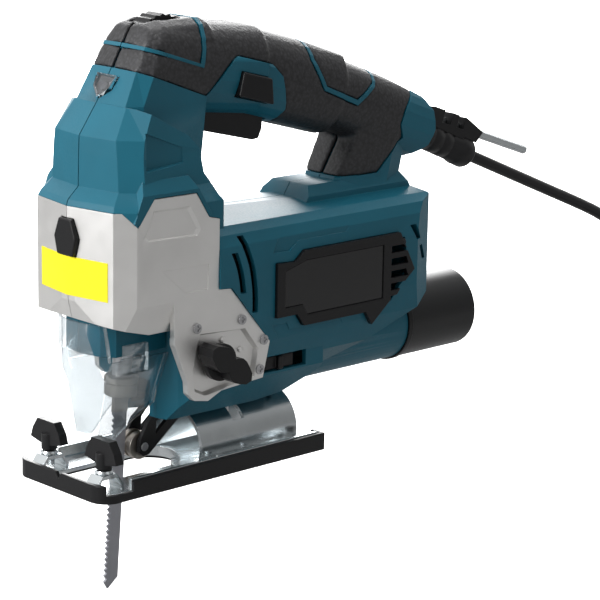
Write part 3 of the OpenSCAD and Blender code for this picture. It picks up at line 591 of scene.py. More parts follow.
@dataclass(frozen=True)
class WorkedMetal:
    """Metal with a worked skin: its grain and gloss tell cast, plated and ground apart."""

    name: str
    shade: str
    roughness: float
    grain_mm: float
    depth_mm: float
    stretch: tuple[float, float, float] = (1.0, 1.0, 1.0)
    mottle: float = 0.06
    mottle_mm: float = 9.0
    metallic: float = 1.0
    edge_mm: float = 0.0

    def make(self) -> bpy.types.Material:
        """Builds the material.

        Returns:
            The material, with the working's grain in relief.
        """
        material, tree, shader, place = blank(self.name)
        along = add(tree, "ShaderNodeMapping", {"Vector": place, "Scale": self.stretch})
        grain = add(tree, "ShaderNodeTexNoise", {
            "Vector": along.outputs["Vector"], "Scale": per_metre(self.grain_mm), "Detail": 4.0})
        cloud, tone = mottled(tree, place, self.shade, self.mottle, self.mottle_mm, 3.0)
        mix = add(tree, "ShaderNodeMath", {0: grain.outputs["Fac"], 1: cloud}, operation="ADD")
        gloss = add(tree, "ShaderNodeMapRange", {
            "Value": mix.outputs["Value"], "From Min": 0.7, "From Max": 1.3,
            "To Min": self.roughness * 0.93, "To Max": self.roughness * 1.1})
        bump = add(tree, "ShaderNodeBump", {
            "Height": grain.outputs["Fac"], "Distance": self.depth_mm * MM})
        if self.edge_mm > 0:
            edge = add(tree, "ShaderNodeBevel", {"Radius": self.edge_mm * MM}, samples=4)
            tree.links.new(edge.outputs["Normal"], bump.inputs["Normal"])
        shader.inputs["Metallic"].default_value = self.metallic
        tree.links.new(tone, shader.inputs["Base Color"])
        tree.links.new(gloss.outputs["Result"], shader.inputs["Roughness"])
        tree.links.new(bump.outputs["Normal"], shader.inputs["Normal"])
        return material


@dataclass(frozen=True)
class ClearPolycarbonate:
    """Clear moulded polycarbonate: water-clear walls with bright edges and faint flow waves."""

    name: str
    shade: str = "#f6fafc"
    roughness: float = 0.03
    flow_mm: float = 14.3
    flow_depth_mm: float = 0.25

    def make(self) -> bpy.types.Material:
        """Builds the material.

        Returns:
            The material.
        """
        material, tree, shader, place = blank(self.name)
        flow = add(tree, "ShaderNodeTexNoise", {
            "Vector": place, "Scale": per_metre(self.flow_mm), "Detail": 1.0})
        bump = add(tree, "ShaderNodeBump", {
            "Height": flow.outputs["Fac"], "Distance": self.flow_depth_mm * MM})
        shader.inputs["Base Color"].default_value = linear(self.shade)
        shader.inputs["Roughness"].default_value = self.roughness
        shader.inputs["IOR"].default_value = 1.45
        shader.inputs["Transmission Weight"].default_value = 1.0
        tree.links.new(bump.outputs["Normal"], shader.inputs["Normal"])
        return material


@dataclass(frozen=True)
class ClearSheet:
    """Thin clear polycarbonate wall: nearly gone face-on, grey and shiny at its edges."""

    name: str
    facing: str = "#f8fafb"
    grazing: str = "#848d92"
    flow_mm: float = 16.7
    flow_depth_mm: float = 0.05

    def make(self) -> bpy.types.Material:
        """Builds the material.

        Returns:
            The material: mostly see-through, with a mirror's share that grows to the edges.
        """
        material, tree, shader, place = blank(self.name)
        flow = add(tree, "ShaderNodeTexNoise", {
            "Vector": place, "Scale": per_metre(self.flow_mm), "Detail": 1.0})
        bump = add(tree, "ShaderNodeBump", {
            "Height": flow.outputs["Fac"], "Distance": self.flow_depth_mm * MM})
        edge = add(tree, "ShaderNodeLayerWeight", {"Blend": 0.35, "Normal": bump.outputs["Normal"]})
        tone = add(tree, "ShaderNodeValToRGB", {"Fac": edge.outputs["Facing"]})
        face, rim = tone.color_ramp.elements[0], tone.color_ramp.elements[1]
        face.position, rim.position = 0.35, 1.0
        face.color, rim.color = linear(self.facing), linear(self.grazing)
        through = add(tree, "ShaderNodeBsdfTransparent", {"Color": tone.outputs["Color"]})
        shader.inputs["Base Color"].default_value = linear("#f4f7f8")
        shader.inputs["Roughness"].default_value = 0.1
        shader.inputs["Metallic"].default_value = 1.0
        share = add(tree, "ShaderNodeMapRange", {
            "Value": edge.outputs["Fresnel"], "From Min": 0.02, "From Max": 1.0,
            "To Min": 0.01, "To Max": 0.6})
        both = add(tree, "ShaderNodeMixShader", {
            0: share.outputs["Result"], 1: through.outputs[0], 2: shader.outputs[0]})
        output = next(n for n in tree.nodes if n.type == "OUTPUT_MATERIAL")
        tree.links.new(both.outputs[0], output.inputs["Surface"])
        return material


class Finishes:
    """All finishes of the tool, made once."""

    def __init__(self) -> None:
        """Makes every material."""
        self.casing = MouldedPlastic("abs_moulded_teal", "#105b6e", 0.42).make()
        self.grip = PebbledRubber(
            "tpe_overmoulded_black", "#141416", "#2b2b2e", roughness=0.5).make()
        self.cover = WorkedMetal(
            "aluminium_die_cast_blasted", "#e6e5e3", 0.44, 0.8, 0.006, mottle=0.015,
            edge_mm=0.5).make()
        self.zinc = WorkedMetal(
            "steel_pressed_zinc_plated", "#ccd1d3", 0.24, 2.5, 0.0015, mottle=0.03).make()
        self.ground = WorkedMetal(
            "steel_ground", "#b4b4b6", 0.3, 0.5, 0.01, (1.0, 1.0, 0.12)).make()
        self.blade = WorkedMetal(
            "steel_blade_blasted", "#a9aab0", 0.5, 0.5, 0.01, (1.0, 1.0, 0.3), 0.04).make()
        self.burnished = WorkedMetal("steel_sintered_dark", "#a39c94", 0.36, 0.6, 0.004).make()
        self.bronze = WorkedMetal("bronze_sintered", "#b88a4e", 0.35, 0.6, 0.02).make()
        self.laminations = WorkedMetal(
            "steel_laminated_dark", "#55555a", 0.55, 0.5, 0.02, (6.0, 1.0, 1.0)).make()
        self.nylon = MouldedPlastic("nylon_moulded_black", "#0e0e10", 0.36, 0.8, 0.01).make()
        self.badge = MouldedPlastic(
            "abs_moulded_black_gloss", "#0b0b0d", 0.2, 1.2, 0.002, gloss=0.5).make()
        self.pipe = MouldedPlastic(
            "abs_moulded_black_satin", "#0f1012", 0.34, 0.7, 0.008, gloss=0.4).make()
        self.sheath = MouldedPlastic("rubber_extruded_black", "#131315", 0.45, 0.9, 0.015).make()
        self.grey = MouldedPlastic("nylon_moulded_grey", "#4a4a4e", 0.5).make()
        self.board = MouldedPlastic("laminate_glass_fibre_green", "#1e5a38", 0.4).make()
        self.carbon = MouldedPlastic("carbon_pressed", "#1b1b1b", 0.6).make()
        self.label = MouldedPlastic("vinyl_printed_yellow", "#e9dc1f", 0.35, 1.2, 0.002).make()
        self.clear = ClearPolycarbonate("polycarbonate_moulded_clear").make()
        self.sheet = ClearSheet("polycarbonate_sheet_clear").make()


# ---------------------------------------------------------------- repeating pieces


class NodePattern:
    """A geometry-nodes tree that is turned into a plain mesh."""

    def __init__(self, name: str, inputs: dict[str, tuple[str, float]]) -> None:
        """Starts a tree.

        Args:
            name: the tree's name.
            inputs: name of each size with its socket type and its value.
        """
        self.name = name
        self.tree = bpy.data.node_groups.new(name, "GeometryNodeTree")
        sockets, shape = self.tree.interface, "NodeSocketGeometry"
        sockets.new_socket("Geometry", in_out="INPUT", socket_type=shape)
        self.sizes = {}
        for label, (kind, value) in inputs.items():
            socket = sockets.new_socket(label, in_out="INPUT", socket_type=kind)
            self.sizes[socket.identifier] = value
        sockets.new_socket("Geometry", in_out="OUTPUT", socket_type=shape)
        self.given = add(self.tree, "NodeGroupInput")

    def end(self, instances: bpy.types.NodeSocket, material: bpy.types.Material) -> None:
        """Closes the tree with Realize Instances and Set Material.

        Args:
            instances: what has been laid out.
            material: finish of the result.
        """
        real = add(self.tree, "GeometryNodeRealizeInstances", {"Geometry": instances})
        dressed = add(self.tree, "GeometryNodeSetMaterial", {
            "Geometry": real.outputs[0], "Material": material})
        add(self.tree, "NodeGroupOutput", {0: dressed.outputs[0]})

    def cast(self, name: str, spots: list[Vector]) -> bpy.types.Object:
        """Runs the tree on a cloud of points and keeps the result as a plain mesh.

        Args:
            name: name of the piece.
            spots: where the pattern's points lie, in metres.

        Returns:
            The piece.
        """
        cloud = bpy.data.meshes.new(name + "_points")
        cloud.from_pydata([tuple(p) for p in spots], [], [])
        holder = linked(name, cloud)
        run = holder.modifiers.new("pattern", "NODES")
        run.node_group = self.tree
        for identifier, value in self.sizes.items():
            run[identifier] = value
        bake_shape(holder)
        return holder


def screw_pattern(material: bpy.types.Material, radius: float, height: float) -> NodePattern:
    """A tree that sets a cross-recessed screw head, facing -Y, on each point.

    Args:
        material: finish of the screws.
        radius: head radius in millimetres.
        height: head height in millimetres.

    Returns:
        The pattern.
    """
    pattern = NodePattern("screw_heads", {
        "Head Radius": ("NodeSocketFloat", radius * MM),
        "Head Height": ("NodeSocketFloat", height * MM),
        "Slot Width": ("NodeSocketFloat", radius * 0.36 * MM),
    })
    tree, given = pattern.tree, pattern.given
    head = add(tree, "GeometryNodeMeshCylinder", {
        "Vertices": 28, "Radius": given.outputs["Head Radius"],
        "Depth": given.outputs["Head Height"]})
    long = add(tree, "ShaderNodeMath", {
        0: given.outputs["Head Radius"], 1: 1.25}, operation="MULTIPLY")
    cut = add(tree, "GeometryNodeMeshBoolean", {
        "Mesh 1": head.outputs["Mesh"]}, operation="DIFFERENCE", solver="EXACT")
    lift = add(tree, "ShaderNodeCombineXYZ", {"Z": given.outputs["Head Height"]})
    half = add(tree, "ShaderNodeVectorMath", {
        0: lift.outputs[0], "Scale": 0.45}, operation="SCALE")
    arm, slot = long.outputs[0], given.outputs["Slot Width"]
    bars = []
    for x, y in ((arm, slot), (slot, arm)):
        across = add(tree, "ShaderNodeCombineXYZ", {
            "X": x, "Y": y, "Z": given.outputs["Head Height"]})
        bar = add(tree, "GeometryNodeMeshCube", {"Size": across.outputs[0]})
        bars.append(add(tree, "GeometryNodeTransform", {
            "Geometry": bar.outputs["Mesh"], "Translation": half.outputs["Vector"]}))
    for bar in bars:
        tree.links.new(bar.outputs[0], cut.inputs["Mesh 2"])
    laid = add(tree, "GeometryNodeInstanceOnPoints", {
        "Points": given.outputs["Geometry"], "Instance": cut.outputs["Mesh"],
        "Rotation": (math.pi / 2, 0.0, 0.0)})
    pattern.end(laid.outputs["Instances"], material)
    return pattern


def slat_pattern(
    material: bpy.types.Material, length: float, height: float, depth: float
) -> NodePattern:
    """A tree that sets a slat on each point.

    Args:
        material: finish of the slats.
        length: length along X in millimetres.
        height: height in millimetres.
        depth: depth along Y in millimetres.

    Returns:
        The pattern.
    """
    pattern = NodePattern("louvre_slats", {
        "Slat Length": ("NodeSocketFloat", length * MM),
        "Slat Height": ("NodeSocketFloat", height * MM),
        "Slat Depth": ("NodeSocketFloat", depth * MM),
    })
    tree, given = pattern.tree, pattern.given
    size = add(tree, "ShaderNodeCombineXYZ", {
        "X": given.outputs["Slat Length"], "Y": given.outputs["Slat Depth"],
        "Z": given.outputs["Slat Height"]})
    bar = add(tree, "GeometryNodeMeshCube", {
        "Size": size.outputs[0], "Vertices X": 2, "Vertices Y": 2, "Vertices Z": 2})
    laid = add(tree, "GeometryNodeInstanceOnPoints", {
        "Points": given.outputs["Geometry"], "Instance": bar.outputs["Mesh"]})
    pattern.end(laid.outputs["Instances"], material)
    return pattern


# ---------------------------------------------------------------- studio


@dataclass
class Studio:
    """Camera, pale floor and soft lights."""

    turn_deg: float = -43.45
    rise_deg: float = 13.73
    roll_deg: float = 1.01
    distance: float = 1.189
    lens_mm: float = 149.9
    sensor_mm: float = 36.0
    sight_m: float = 20.0
    target: Vector = field(default_factory=lambda: Vector((0.1117, 0.0, 0.0642)))
    floor_z: float = -56.0
    fibre_mm: float = 1.11
    fibre_depth_mm: float = 0.05
    # corners of the floor in metres
    floor: Outline = field(default_factory=lambda: [(-3, -3), (5, -3), (5, 6), (-3, 6)])
    # name, place in metres, side in metres, power in watts
    lamps: list[tuple[str, tuple[float, float, float], float, float]] = field(
        default_factory=lambda: [
            ("key_light", (-1.15, 0.1, 0.6), 0.6, 17.0),
            ("top_light", (0.2, 0.1, 1.25), 0.7, 8.0),
            ("side_light", (0.2, -1.4, 0.5), 0.9, 1.5),
            ("rear_light", (1.1, 1.1, 0.5), 1.2, 30.0),
        ]
    )

    def camera(self) -> None:
        """Places the camera."""
        a, e, r = (math.radians(v) for v in (self.turn_deg, self.rise_deg, self.roll_deg))
        back = Vector((math.sin(a) * math.cos(e), -math.cos(a) * math.cos(e), math.sin(e)))
        right = Vector((math.cos(a), math.sin(a), 0.0))
        up = back.cross(right)
        across = math.cos(r) * right + math.sin(r) * up
        upright = -math.sin(r) * right + math.cos(r) * up
        data = bpy.data.cameras.new("studio_camera")
        data.lens = self.lens_mm
        data.sensor_width = self.sensor_mm
        data.clip_end = self.sight_m
        camera = linked("studio_camera", data)
        basis = Matrix((across, upright, back)).transposed().to_4x4()
        camera.matrix_world = Matrix.Translation(self.target + self.distance * back) @ basis
        bpy.context.scene.camera = camera

    def lamp(
        self, name: str, place: tuple[float, float, float], size: float, power: float
    ) -> None:
        """Hangs a square soft light that faces the tool.

        Args:
            name: its name.
            place: where it hangs, in metres.
            size: its side in metres.
            power: its power in watts.
        """
        data = bpy.data.lights.new(name, "AREA")
        data.shape = "SQUARE"
        data.size = size
        data.energy = power
        lamp = linked(name, data)
        aim = (self.target - Vector(place)).to_track_quat("-Z", "Y")
        lamp.matrix_world = Matrix.Translation(Vector(place)) @ aim.to_matrix().to_4x4()

    def surroundings(self) -> None:
        """Makes white surroundings, bright behind the tool and darker before it."""
        world = bpy.data.worlds.new("white_surroundings")
        world.use_nodes = True
        tree = world.node_tree
        tree.nodes.clear()
        white = (1.0, 1.0, 1.0, 1.0)
        ray = add(tree, "ShaderNodeLightPath")
        seen = add(tree, "ShaderNodeBackground", {"Color": white, "Strength": 1.0})
        sky = add(tree, "ShaderNodeTexCoord").outputs["Generated"]
        facing = add(tree, "ShaderNodeSeparateXYZ", {0: sky})
        fall = add(tree, "ShaderNodeMapRange", {
            "Value": facing.outputs["Y"], "From Min": -0.7, "From Max": 0.6,
            "To Min": 0.25, "To Max": 1.1})
        lit = add(tree, "ShaderNodeBackground", {
            "Color": white, "Strength": fall.outputs["Result"]})
        both = add(tree, "ShaderNodeMixShader", {
            0: ray.outputs["Is Camera Ray"], 1: lit.outputs[0], 2: seen.outputs[0]})
        add(tree, "ShaderNodeOutputWorld", {"Surface": both.outputs[0]})
        bpy.context.scene.world = world
        bpy.context.scene.view_settings.view_transform = "Standard"

    def paper(self) -> bpy.types.Material:
        """Makes the floor's finish.

        Returns:
            White paper to the camera, which throws little light back under the tool.
        """
        paper, tree, shader, place = blank("paper_sweep_white")
        fibre = add(tree, "ShaderNodeTexNoise", {
            "Vector": place, "Scale": per_metre(self.fibre_mm), "Detail": 2.0})
        bump = add(tree, "ShaderNodeBump", {
            "Height": fibre.outputs["Fac"], "Distance": self.fibre_depth_mm * MM})
        seen = add(tree, "ShaderNodeLightPath").outputs["Is Camera Ray"]
        tone = add(tree, "ShaderNodeMix", {
            0: seen, 6: linear("#8a8a8a"), 7: linear("#f7f7f7")}, data_type="RGBA")
        glow = add(tree, "ShaderNodeMath", {0: seen, 1: 0.55}, operation="MULTIPLY")
        shader.inputs["Roughness"].default_value = 0.9
        shader.inputs["Emission Color"].default_value = (1.0, 1.0, 1.0, 1.0)
        tree.links.new(tone.outputs[2], shader.inputs["Base Color"])
        tree.links.new(glow.outputs["Value"], shader.inputs["Emission Strength"])
        tree.links.new(bump.outputs["Normal"], shader.inputs["Normal"])
        return paper

    def build(self) -> None:
        """Makes camera, lights, surroundings and floor."""
        self.camera()
        for lamp in self.lamps:
            self.lamp(*lamp)
        self.surroundings()
        shape = bmesh.new()
        level = (self.floor_z - 0.05) * MM
        shape.faces.new([shape.verts.new((x, y, level)) for x, y in self.floor])
        floor = as_meshed("studio_floor", shape)
        floor.data.materials.append(self.paper())


# ---------------------------------------------------------------- cord


@dataclass
class MainsCord:
    """Rubber mains cord: its free run, the coil of the rest, the tie and the plug."""

    diameter: float = 6.0
    floor_z: float = -56.0
    centre: tuple[float, float] = (398.0, -35.0)
    # stations of the free run, from the sleeve down to the coil's first turn
    run: list[tuple[float, float, float]] = field(default_factory=lambda: [
        (226, 0, 121.5), (243, 0, 114.5), (260, 0, 107.5), (277, 0, 100.5), (294, 0, 93.5),
        (311, 0, 86.5), (328, 0, 79), (340, 0, 72), (350, 0, 63), (357, 0, 52), (362, 0, 39),
        (364, 0, 25), (364, 0, 9), (364, 0, -8), (366, 0, -19), (371, 0, -29), (379, 0, -36.5),
        (388, 0, -41), (398, 0, -42.6)])
    # radius, and height above the floor, of each turn of the coil
    turns: Outline = field(default_factory=lambda: [
        (35, 13.4), (41, 13.4), (38, 8.2), (32, 8.2), (29, 3.0), (35, 3.0), (41, 3.0)])
    # points in a turn, and the share of a turn in which the cord moves over to the next one
    samples: int = 40
    change: float = 0.2
    # the strap's section: its height, and how far it lies from the coil's middle
    tie_low: float = 0.3
    tie_high: float = 17.3
    tie_inner: float = 25.2
    tie_outer: float = 45.0
    tie_wall: float = 0.7
    tie_half_width: float = 5.0
    tie_turn_deg: float = -100.0

    def free_run(self) -> list[Vector]:
        """Points of the part that hangs, on a smooth curve through its stations.

        Returns:
            The points in millimetres.
        """
        points = []
        ends = [self.run[0]] + self.run + [self.run[-1]]
        for i in range(1, len(ends) - 2):
            a, b, c, d = (Vector(ends[i + k]) for k in (-1, 0, 1, 2))
            for k in range(3):
                t = k / 3
                points.append(0.5 * (2 * b + (c - a) * t + (2 * a - 5 * b + 4 * c - d) * t * t
                                     + (3 * b - a - 3 * c + d) * t ** 3))
        return points

    def path(self) -> list[Vector]:
        """Points of the whole cord, free run and coil.

        Returns:
            The points in metres.
        """
        points = self.free_run()
        for i, (radius, height) in enumerate(self.turns):
            onward = self.turns[min(i + 1, len(self.turns) - 1)]
            for k in range(self.samples):
                share = k / self.samples
                blend = min(1.0, max(0.0, (share - (1 - self.change)) / self.change))
                ease = blend * blend * (3 - 2 * blend)
                r = radius + (onward[0] - radius) * ease
                z = height + (onward[1] - height) * ease
                a = math.pi / 2 - math.tau * share
                points.append(Vector((self.centre[0] + r * math.cos(a),
                                      self.centre[1] + r * math.sin(a), self.floor_z + z)))
        return [p * MM for p in points]

    def build(self, finishes: Finishes) -> None:
        """Makes cord, tie and plug.

        Args:
            finishes: the tool's finishes.
        """
        path = self.path()
        cord = soften(tube("mains_cord", path, self.diameter / 2 * MM), 0.0, angle=60)
        settle(cord, finishes.sheath, "cord")
        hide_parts("cord_coil")
        plug = settle(soften(cad_copy("plug", "contour_plug"), 1.6, 4), finishes.sheath, "plug")
        plug.modifiers["edges"].use_clamp_overlap = True
        tie = self.tie()
        settle(tie, finishes.nylon, "cord_coil", stands_for=False)

    def tie(self) -> bpy.types.Object:
        """Makes a hook-and-loop strap round the coil's section.

        Returns:
            The strap.
        """
        low, high, inner, outer = self.tie_low, self.tie_high, self.tie_inner, self.tie_outer
        wall, reach = self.tie_wall, self.tie_half_width
        strap = prism("cord_tie", [
            (inner, low), (outer, low), (outer + 0.8, low + 1), (outer + 0.8, high - 1),
            (outer, high), (inner, high), (inner - 0.8, high - 1), (inner - 0.8, low + 1),
        ], Axis.Y, -reach, reach)
        hollow = prism("tie_hollow", [
            (inner, low + wall), (outer, low + wall), (outer, high - wall), (inner, high - wall),
        ], Axis.Y, -reach - 1, reach + 1)
        combine(strap, [hollow], Cut.TAKE)
        turn = Matrix.Rotation(math.radians(self.tie_turn_deg), 4, "Z")
        shift = Matrix.Translation(Vector((*self.centre, self.floor_z)) * MM)
        strap.data.transform(shift @ turn)
        return soften(strap, 0.3)


# ---------------------------------------------------------------- body


@dataclass
class Casing:
    """Both halves of the ABS casing, with the sunk panels and hoods of its sides."""

    seam_mm: float = 0.22
    side_y: float = 34.0
    head_y: float = 30.0
    panel_depth: float = 2.2
    panel_lip: float = 1.2
    shelf_depth: float = 1.1
    hood_inner: float = 24.0
    hood_outer: float = 33.2
    head_panel: Outline = field(default_factory=lambda: [
        (-7.5, 160.8), (13.0, 152.8), (13.2, 146.4), (-7.5, 145.0)])
    shelf_above: Outline = field(default_factory=lambda: [
        (63, 99.8), (73.2, 99.4), (79, 103.6), (109, 103.6), (113, 109), (68, 109)])
    shelf_below: Outline = field(default_factory=lambda: [
        (63, 66), (72, 66), (74, 62.4), (107, 62), (109, 57.6), (69, 56.8)])
    hood: Outline = field(default_factory=lambda: [
        (-10.6, 140.8), (15.2, 140.6), (26.2, 123), (24.9, 121.7),
        (17.6, 133.2), (-6.4, 133.4), (-14.6, 122.6), (-17.4, 123.4)])
    # the hood's section across the tool, leaning in at its top
    hood_lean: Outline = field(default_factory=lambda: [
        (20, 118), (33.4, 118), (33.4, 134.5), (29.4, 142), (20, 142)])

    def half(self, half: Half, finishes: Finishes) -> bpy.types.Object:
        """Builds one half.

        Args:
            half: left or right.
            finishes: the tool's finishes.

        Returns:
            The dressed half.
        """
        side = half.name.lower()
        piece = cad_copy(f"{side}_housing", f"{side}_casing")
        s = half.value
        combine(piece, [
            pocket("shelf_above_cut", self.shelf_above, half, self.side_y, self.shelf_depth),
            pocket("shelf_below_cut", self.shelf_below, half, self.side_y, self.shelf_depth),
            pocket("head_panel_cut", self.head_panel, half, self.head_y, self.panel_depth,
                   self.panel_lip),
        ], Cut.TAKE)
        hood = prism("hood", self.hood, Axis.Y, s * self.hood_inner, s * self.hood_outer)
        lean = prism("hood_lean", [(s * y, z) for y, z in self.hood_lean], Axis.X, -20, 30)
        combine(hood, [lean], Cut.KEEP)
        combine(piece, [hood], Cut.JOIN)
        open_seam(piece, half, self.seam_mm)
        return settle(soften(piece, 0.0, angle=12), finishes.casing, f"{side}_housing")

    def build(self, finishes: Finishes) -> None:
        """Builds both halves.

        Args:
            finishes: the tool's finishes.
        """
        for half in Half:
            self.half(half, finishes)


@dataclass
class Grips:
    """Overmoulded rubber fields, rounded as rubber leaves the tool."""

    voxel_mm: float = 0.9
    rounds: int = 10
    seam_mm: float = 0.3

    def build(self, finishes: Finishes) -> None:
        """Makes both rubber skins.

        Args:
            finishes: the tool's finishes.
        """
        for half in Half:
            side = half.name.lower()
            piece = cad_copy(f"{side}_grip", f"{side}_rubber")
            open_seam(piece, half, self.seam_mm)
            fine = piece.modifiers.new("fine", "REMESH")
            fine.mode = "VOXEL"
            fine.voxel_size = self.voxel_mm * MM
            smooth = piece.modifiers.new("smooth", "SMOOTH")
            smooth.factor = 0.5
            smooth.iterations = self.rounds
            bake_shape(piece)
            settle(soften(piece, 0.0, angle=75), finishes.grip, f"{side}_grip")


@dataclass
class GearCover:
    """Die-cast gear cover with its sunk panels, lobe, studs, screws and blank label."""

    outer_y: float = 33.0
    lip: float = 1.7
    hex_depth: float = 1.1
    low_depth: float = 0.5
    field_depth: float = 2.4
    field_lip: float = 1.2
    seam_mm: float = 0.14
    hex_panel: Outline = field(default_factory=lambda: [
        (-10.6, 116.6), (-5.6, 127.0), (12.6, 126.6), (18.4, 117), (16.6, 114.6), (-8.6, 115.4)])
    low_panel: Outline = field(default_factory=lambda: [
        (-2.2, 100.6), (11.6, 88.9), (24.4, 88.8), (25, 100.2)])
    knob_field: Outline = field(default_factory=lambda: [
        (17.4, 53), (20.6, 68), (46, 66.6), (53.8, 56.6),
        (51.6, 44.4), (33, 42.6), (23.5, 41.4), (18.2, 44)])
    studs: Outline = field(default_factory=lambda: [(35, 63.6), (45.8, 57.5), (47.6, 47)])
    stud_profile: Outline = field(default_factory=lambda: [
        (0, 0), (0, 1.5), (0.9, 1.4), (1.2, 0.9), (1.2, 0)])
    screws: Outline = field(default_factory=lambda: [
        (18, 72), (44.6, 71.9), (58, 60.4), (55.7, 47)])
    screw_radius: float = 2.3
    screw_height: float = 1.0
    # the front leans back from its middle, by so much at this distance to each side
    front_x: float = -28.5
    front_back: float = 4.5
    front_half: float = 26.4
    label_ends: tuple[float, float] = (-23.6, 22.4)
    label_z: tuple[float, float] = (88.4, 105.8)
    label_outer: float = 0.16
    label_inner: float = 0.02

    def half(self, half: Half, finishes: Finishes) -> None:
        """Makes one half with its sunk panels.

        Args:
            half: left or right.
            finishes: the tool's finishes.
        """
        side = half.name.lower()
        piece = cad_copy(f"{side}_gear_cover", f"{side}_cast_cover")
        tools = [
            pocket("hex_panel_cut", self.hex_panel, half, self.outer_y, self.hex_depth, self.lip),
            pocket("low_panel_cut", self.low_panel, half, self.outer_y, self.low_depth),
        ]
        if half is Half.LEFT:
            tools.append(pocket("knob_field_cut", self.knob_field, half, self.outer_y,
                                self.field_depth, self.field_lip))
        combine(piece, tools, Cut.TAKE)
        open_seam(piece, half, self.seam_mm)
        settle(soften(piece, 0.0, angle=12), finishes.cover, f"{side}_gear_cover")

    def build(self, finishes: Finishes) -> None:
        """Makes both halves, the studs, the screws and the label.

        Args:
            finishes: the tool's finishes.
        """
        for half in Half:
            self.half(half, finishes)
        stud_y = self.field_depth - self.outer_y + 0.1
        studs = [
            turned(f"stud_{i}", self.stud_profile, Vector((x, stud_y, z)), Vector((0, -1, 0)), 24)
            for i, (x, z) in enumerate(self.studs)
        ]
        combine(studs[0], studs[1:], Cut.JOIN)
        studs[0].name = "cover_studs"
        settle(soften(studs[0], 0.0), finishes.cover, "left_gear_cover", stands_for=False)
        pattern = screw_pattern(finishes.ground, self.screw_radius, self.screw_height)
        spots = [Vector((x, -self.outer_y - 0.45, z)) * MM for x, z in self.screws]
        heads = pattern.cast("cover_screw_heads", spots)
        settle(soften(heads, 0.12), finishes.ground, "cover_screws")
        self.label(finishes)

    def label(self, finishes: Finishes) -> None:
        """A blank sticker that wraps round the front.

        Args:
            finishes: the tool's finishes.
        """
        slope = self.front_back / self.front_half
        first, last = self.label_ends
        outline = [
            (self.front_x + abs(y) * slope - out, y)
            for y, out in ((first, self.label_outer), (0.0, self.label_outer),
                           (last, self.label_outer), (last, self.label_inner),
                           (0.0, self.label_inner), (first, self.label_inner))
        ]
        piece = prism("blank_label", outline, Axis.Z, *self.label_z)
        settle(soften(piece, 0.0), finishes.label, "left_gear_cover", stands_for=False)


@dataclass
class Badge:
    """Black side shields with a raised frame, a glossy field and sloping louvres."""

    louvres: int = 5
    pitch: float = 6.0
    first_z: float = 94.2
    louvre_x: float = 142.5
    louvre_y: float = 34.3
    # length, height and depth of a slat before its ends are trimmed
    slat: tuple[float, float, float] = (14.0, 3.0, 2.2)
    trim: Outline = field(default_factory=lambda: [
        (136.4, 95.5), (146.6, 95.5), (150.6, 80), (139, 65), (136.4, 65)])
    field_y: float = 34.9
    plate: Outline = field(default_factory=lambda: [
        (69.3, 90.6), (82.2, 94.2), (131.7, 94.2), (131.7, 68.8),
        (83.2, 68.8), (80.2, 73.8), (69.3, 73.8)])

    def build(self, finishes: Finishes) -> None:
        """Makes both shields.

        Args:
            finishes: the tool's finishes.
        """
        for half in Half:
            side, s = half.name.lower(), half.value
            badge = f"{side}_badge"
            shield = cad_copy(badge, f"{side}_shield")
            settle(soften(shield, 0.0, angle=12), finishes.nylon, badge)
            plate = prism(f"{side}_shield_field", self.plate, Axis.Y,
                          s * (self.field_y - 0.25), s * (self.field_y + 0.12))
            settle(soften(plate, 0.1), finishes.badge, badge, stands_for=False)
            spots = [Vector((self.louvre_x, s * self.louvre_y, self.first_z - self.pitch * k)) * MM
                     for k in range(self.louvres)]
            slats = slat_pattern(finishes.nylon, *self.slat).cast(f"{side}_louvres", spots)
            keep = prism("louvre_bounds", self.trim, Axis.Y, s * 30, s * 40)
            combine(slats, [keep], Cut.KEEP)
            settle(soften(slats, 0.8, 3), finishes.nylon, badge, stands_for=False)


@dataclass
class Controls:
    """Buttons, wheel, knob, trigger and slider, and what they work on."""

    # width of the rounding of each moulded control
    moulded: dict[str, float] = field(default_factory=lambda: {
        "lock_button": 0.9, "trigger": 1.0, "front_button": 0.8,
        "speed_dial": 0.15, "pendulum_knob": 0.9, "blower_slider": 0.5})
    inner_edge: float = 0.15

    def build(self, finishes: Finishes) -> None:
        """Dresses every control.

        Args:
            finishes: the tool's finishes.
        """
        for node, width in self.moulded.items():
            dress(node, finishes.nylon, width, 3, "moulded")
        looks = {
            "light_window": finishes.clear, "light_module": finishes.grey,
            "pendulum_shaft": finishes.ground, "switch_block": finishes.nylon,
            "control_board": finishes.board, "trigger_pin": finishes.ground,
        }
        for node, material in looks.items():
            dress(node, material, self.inner_edge)


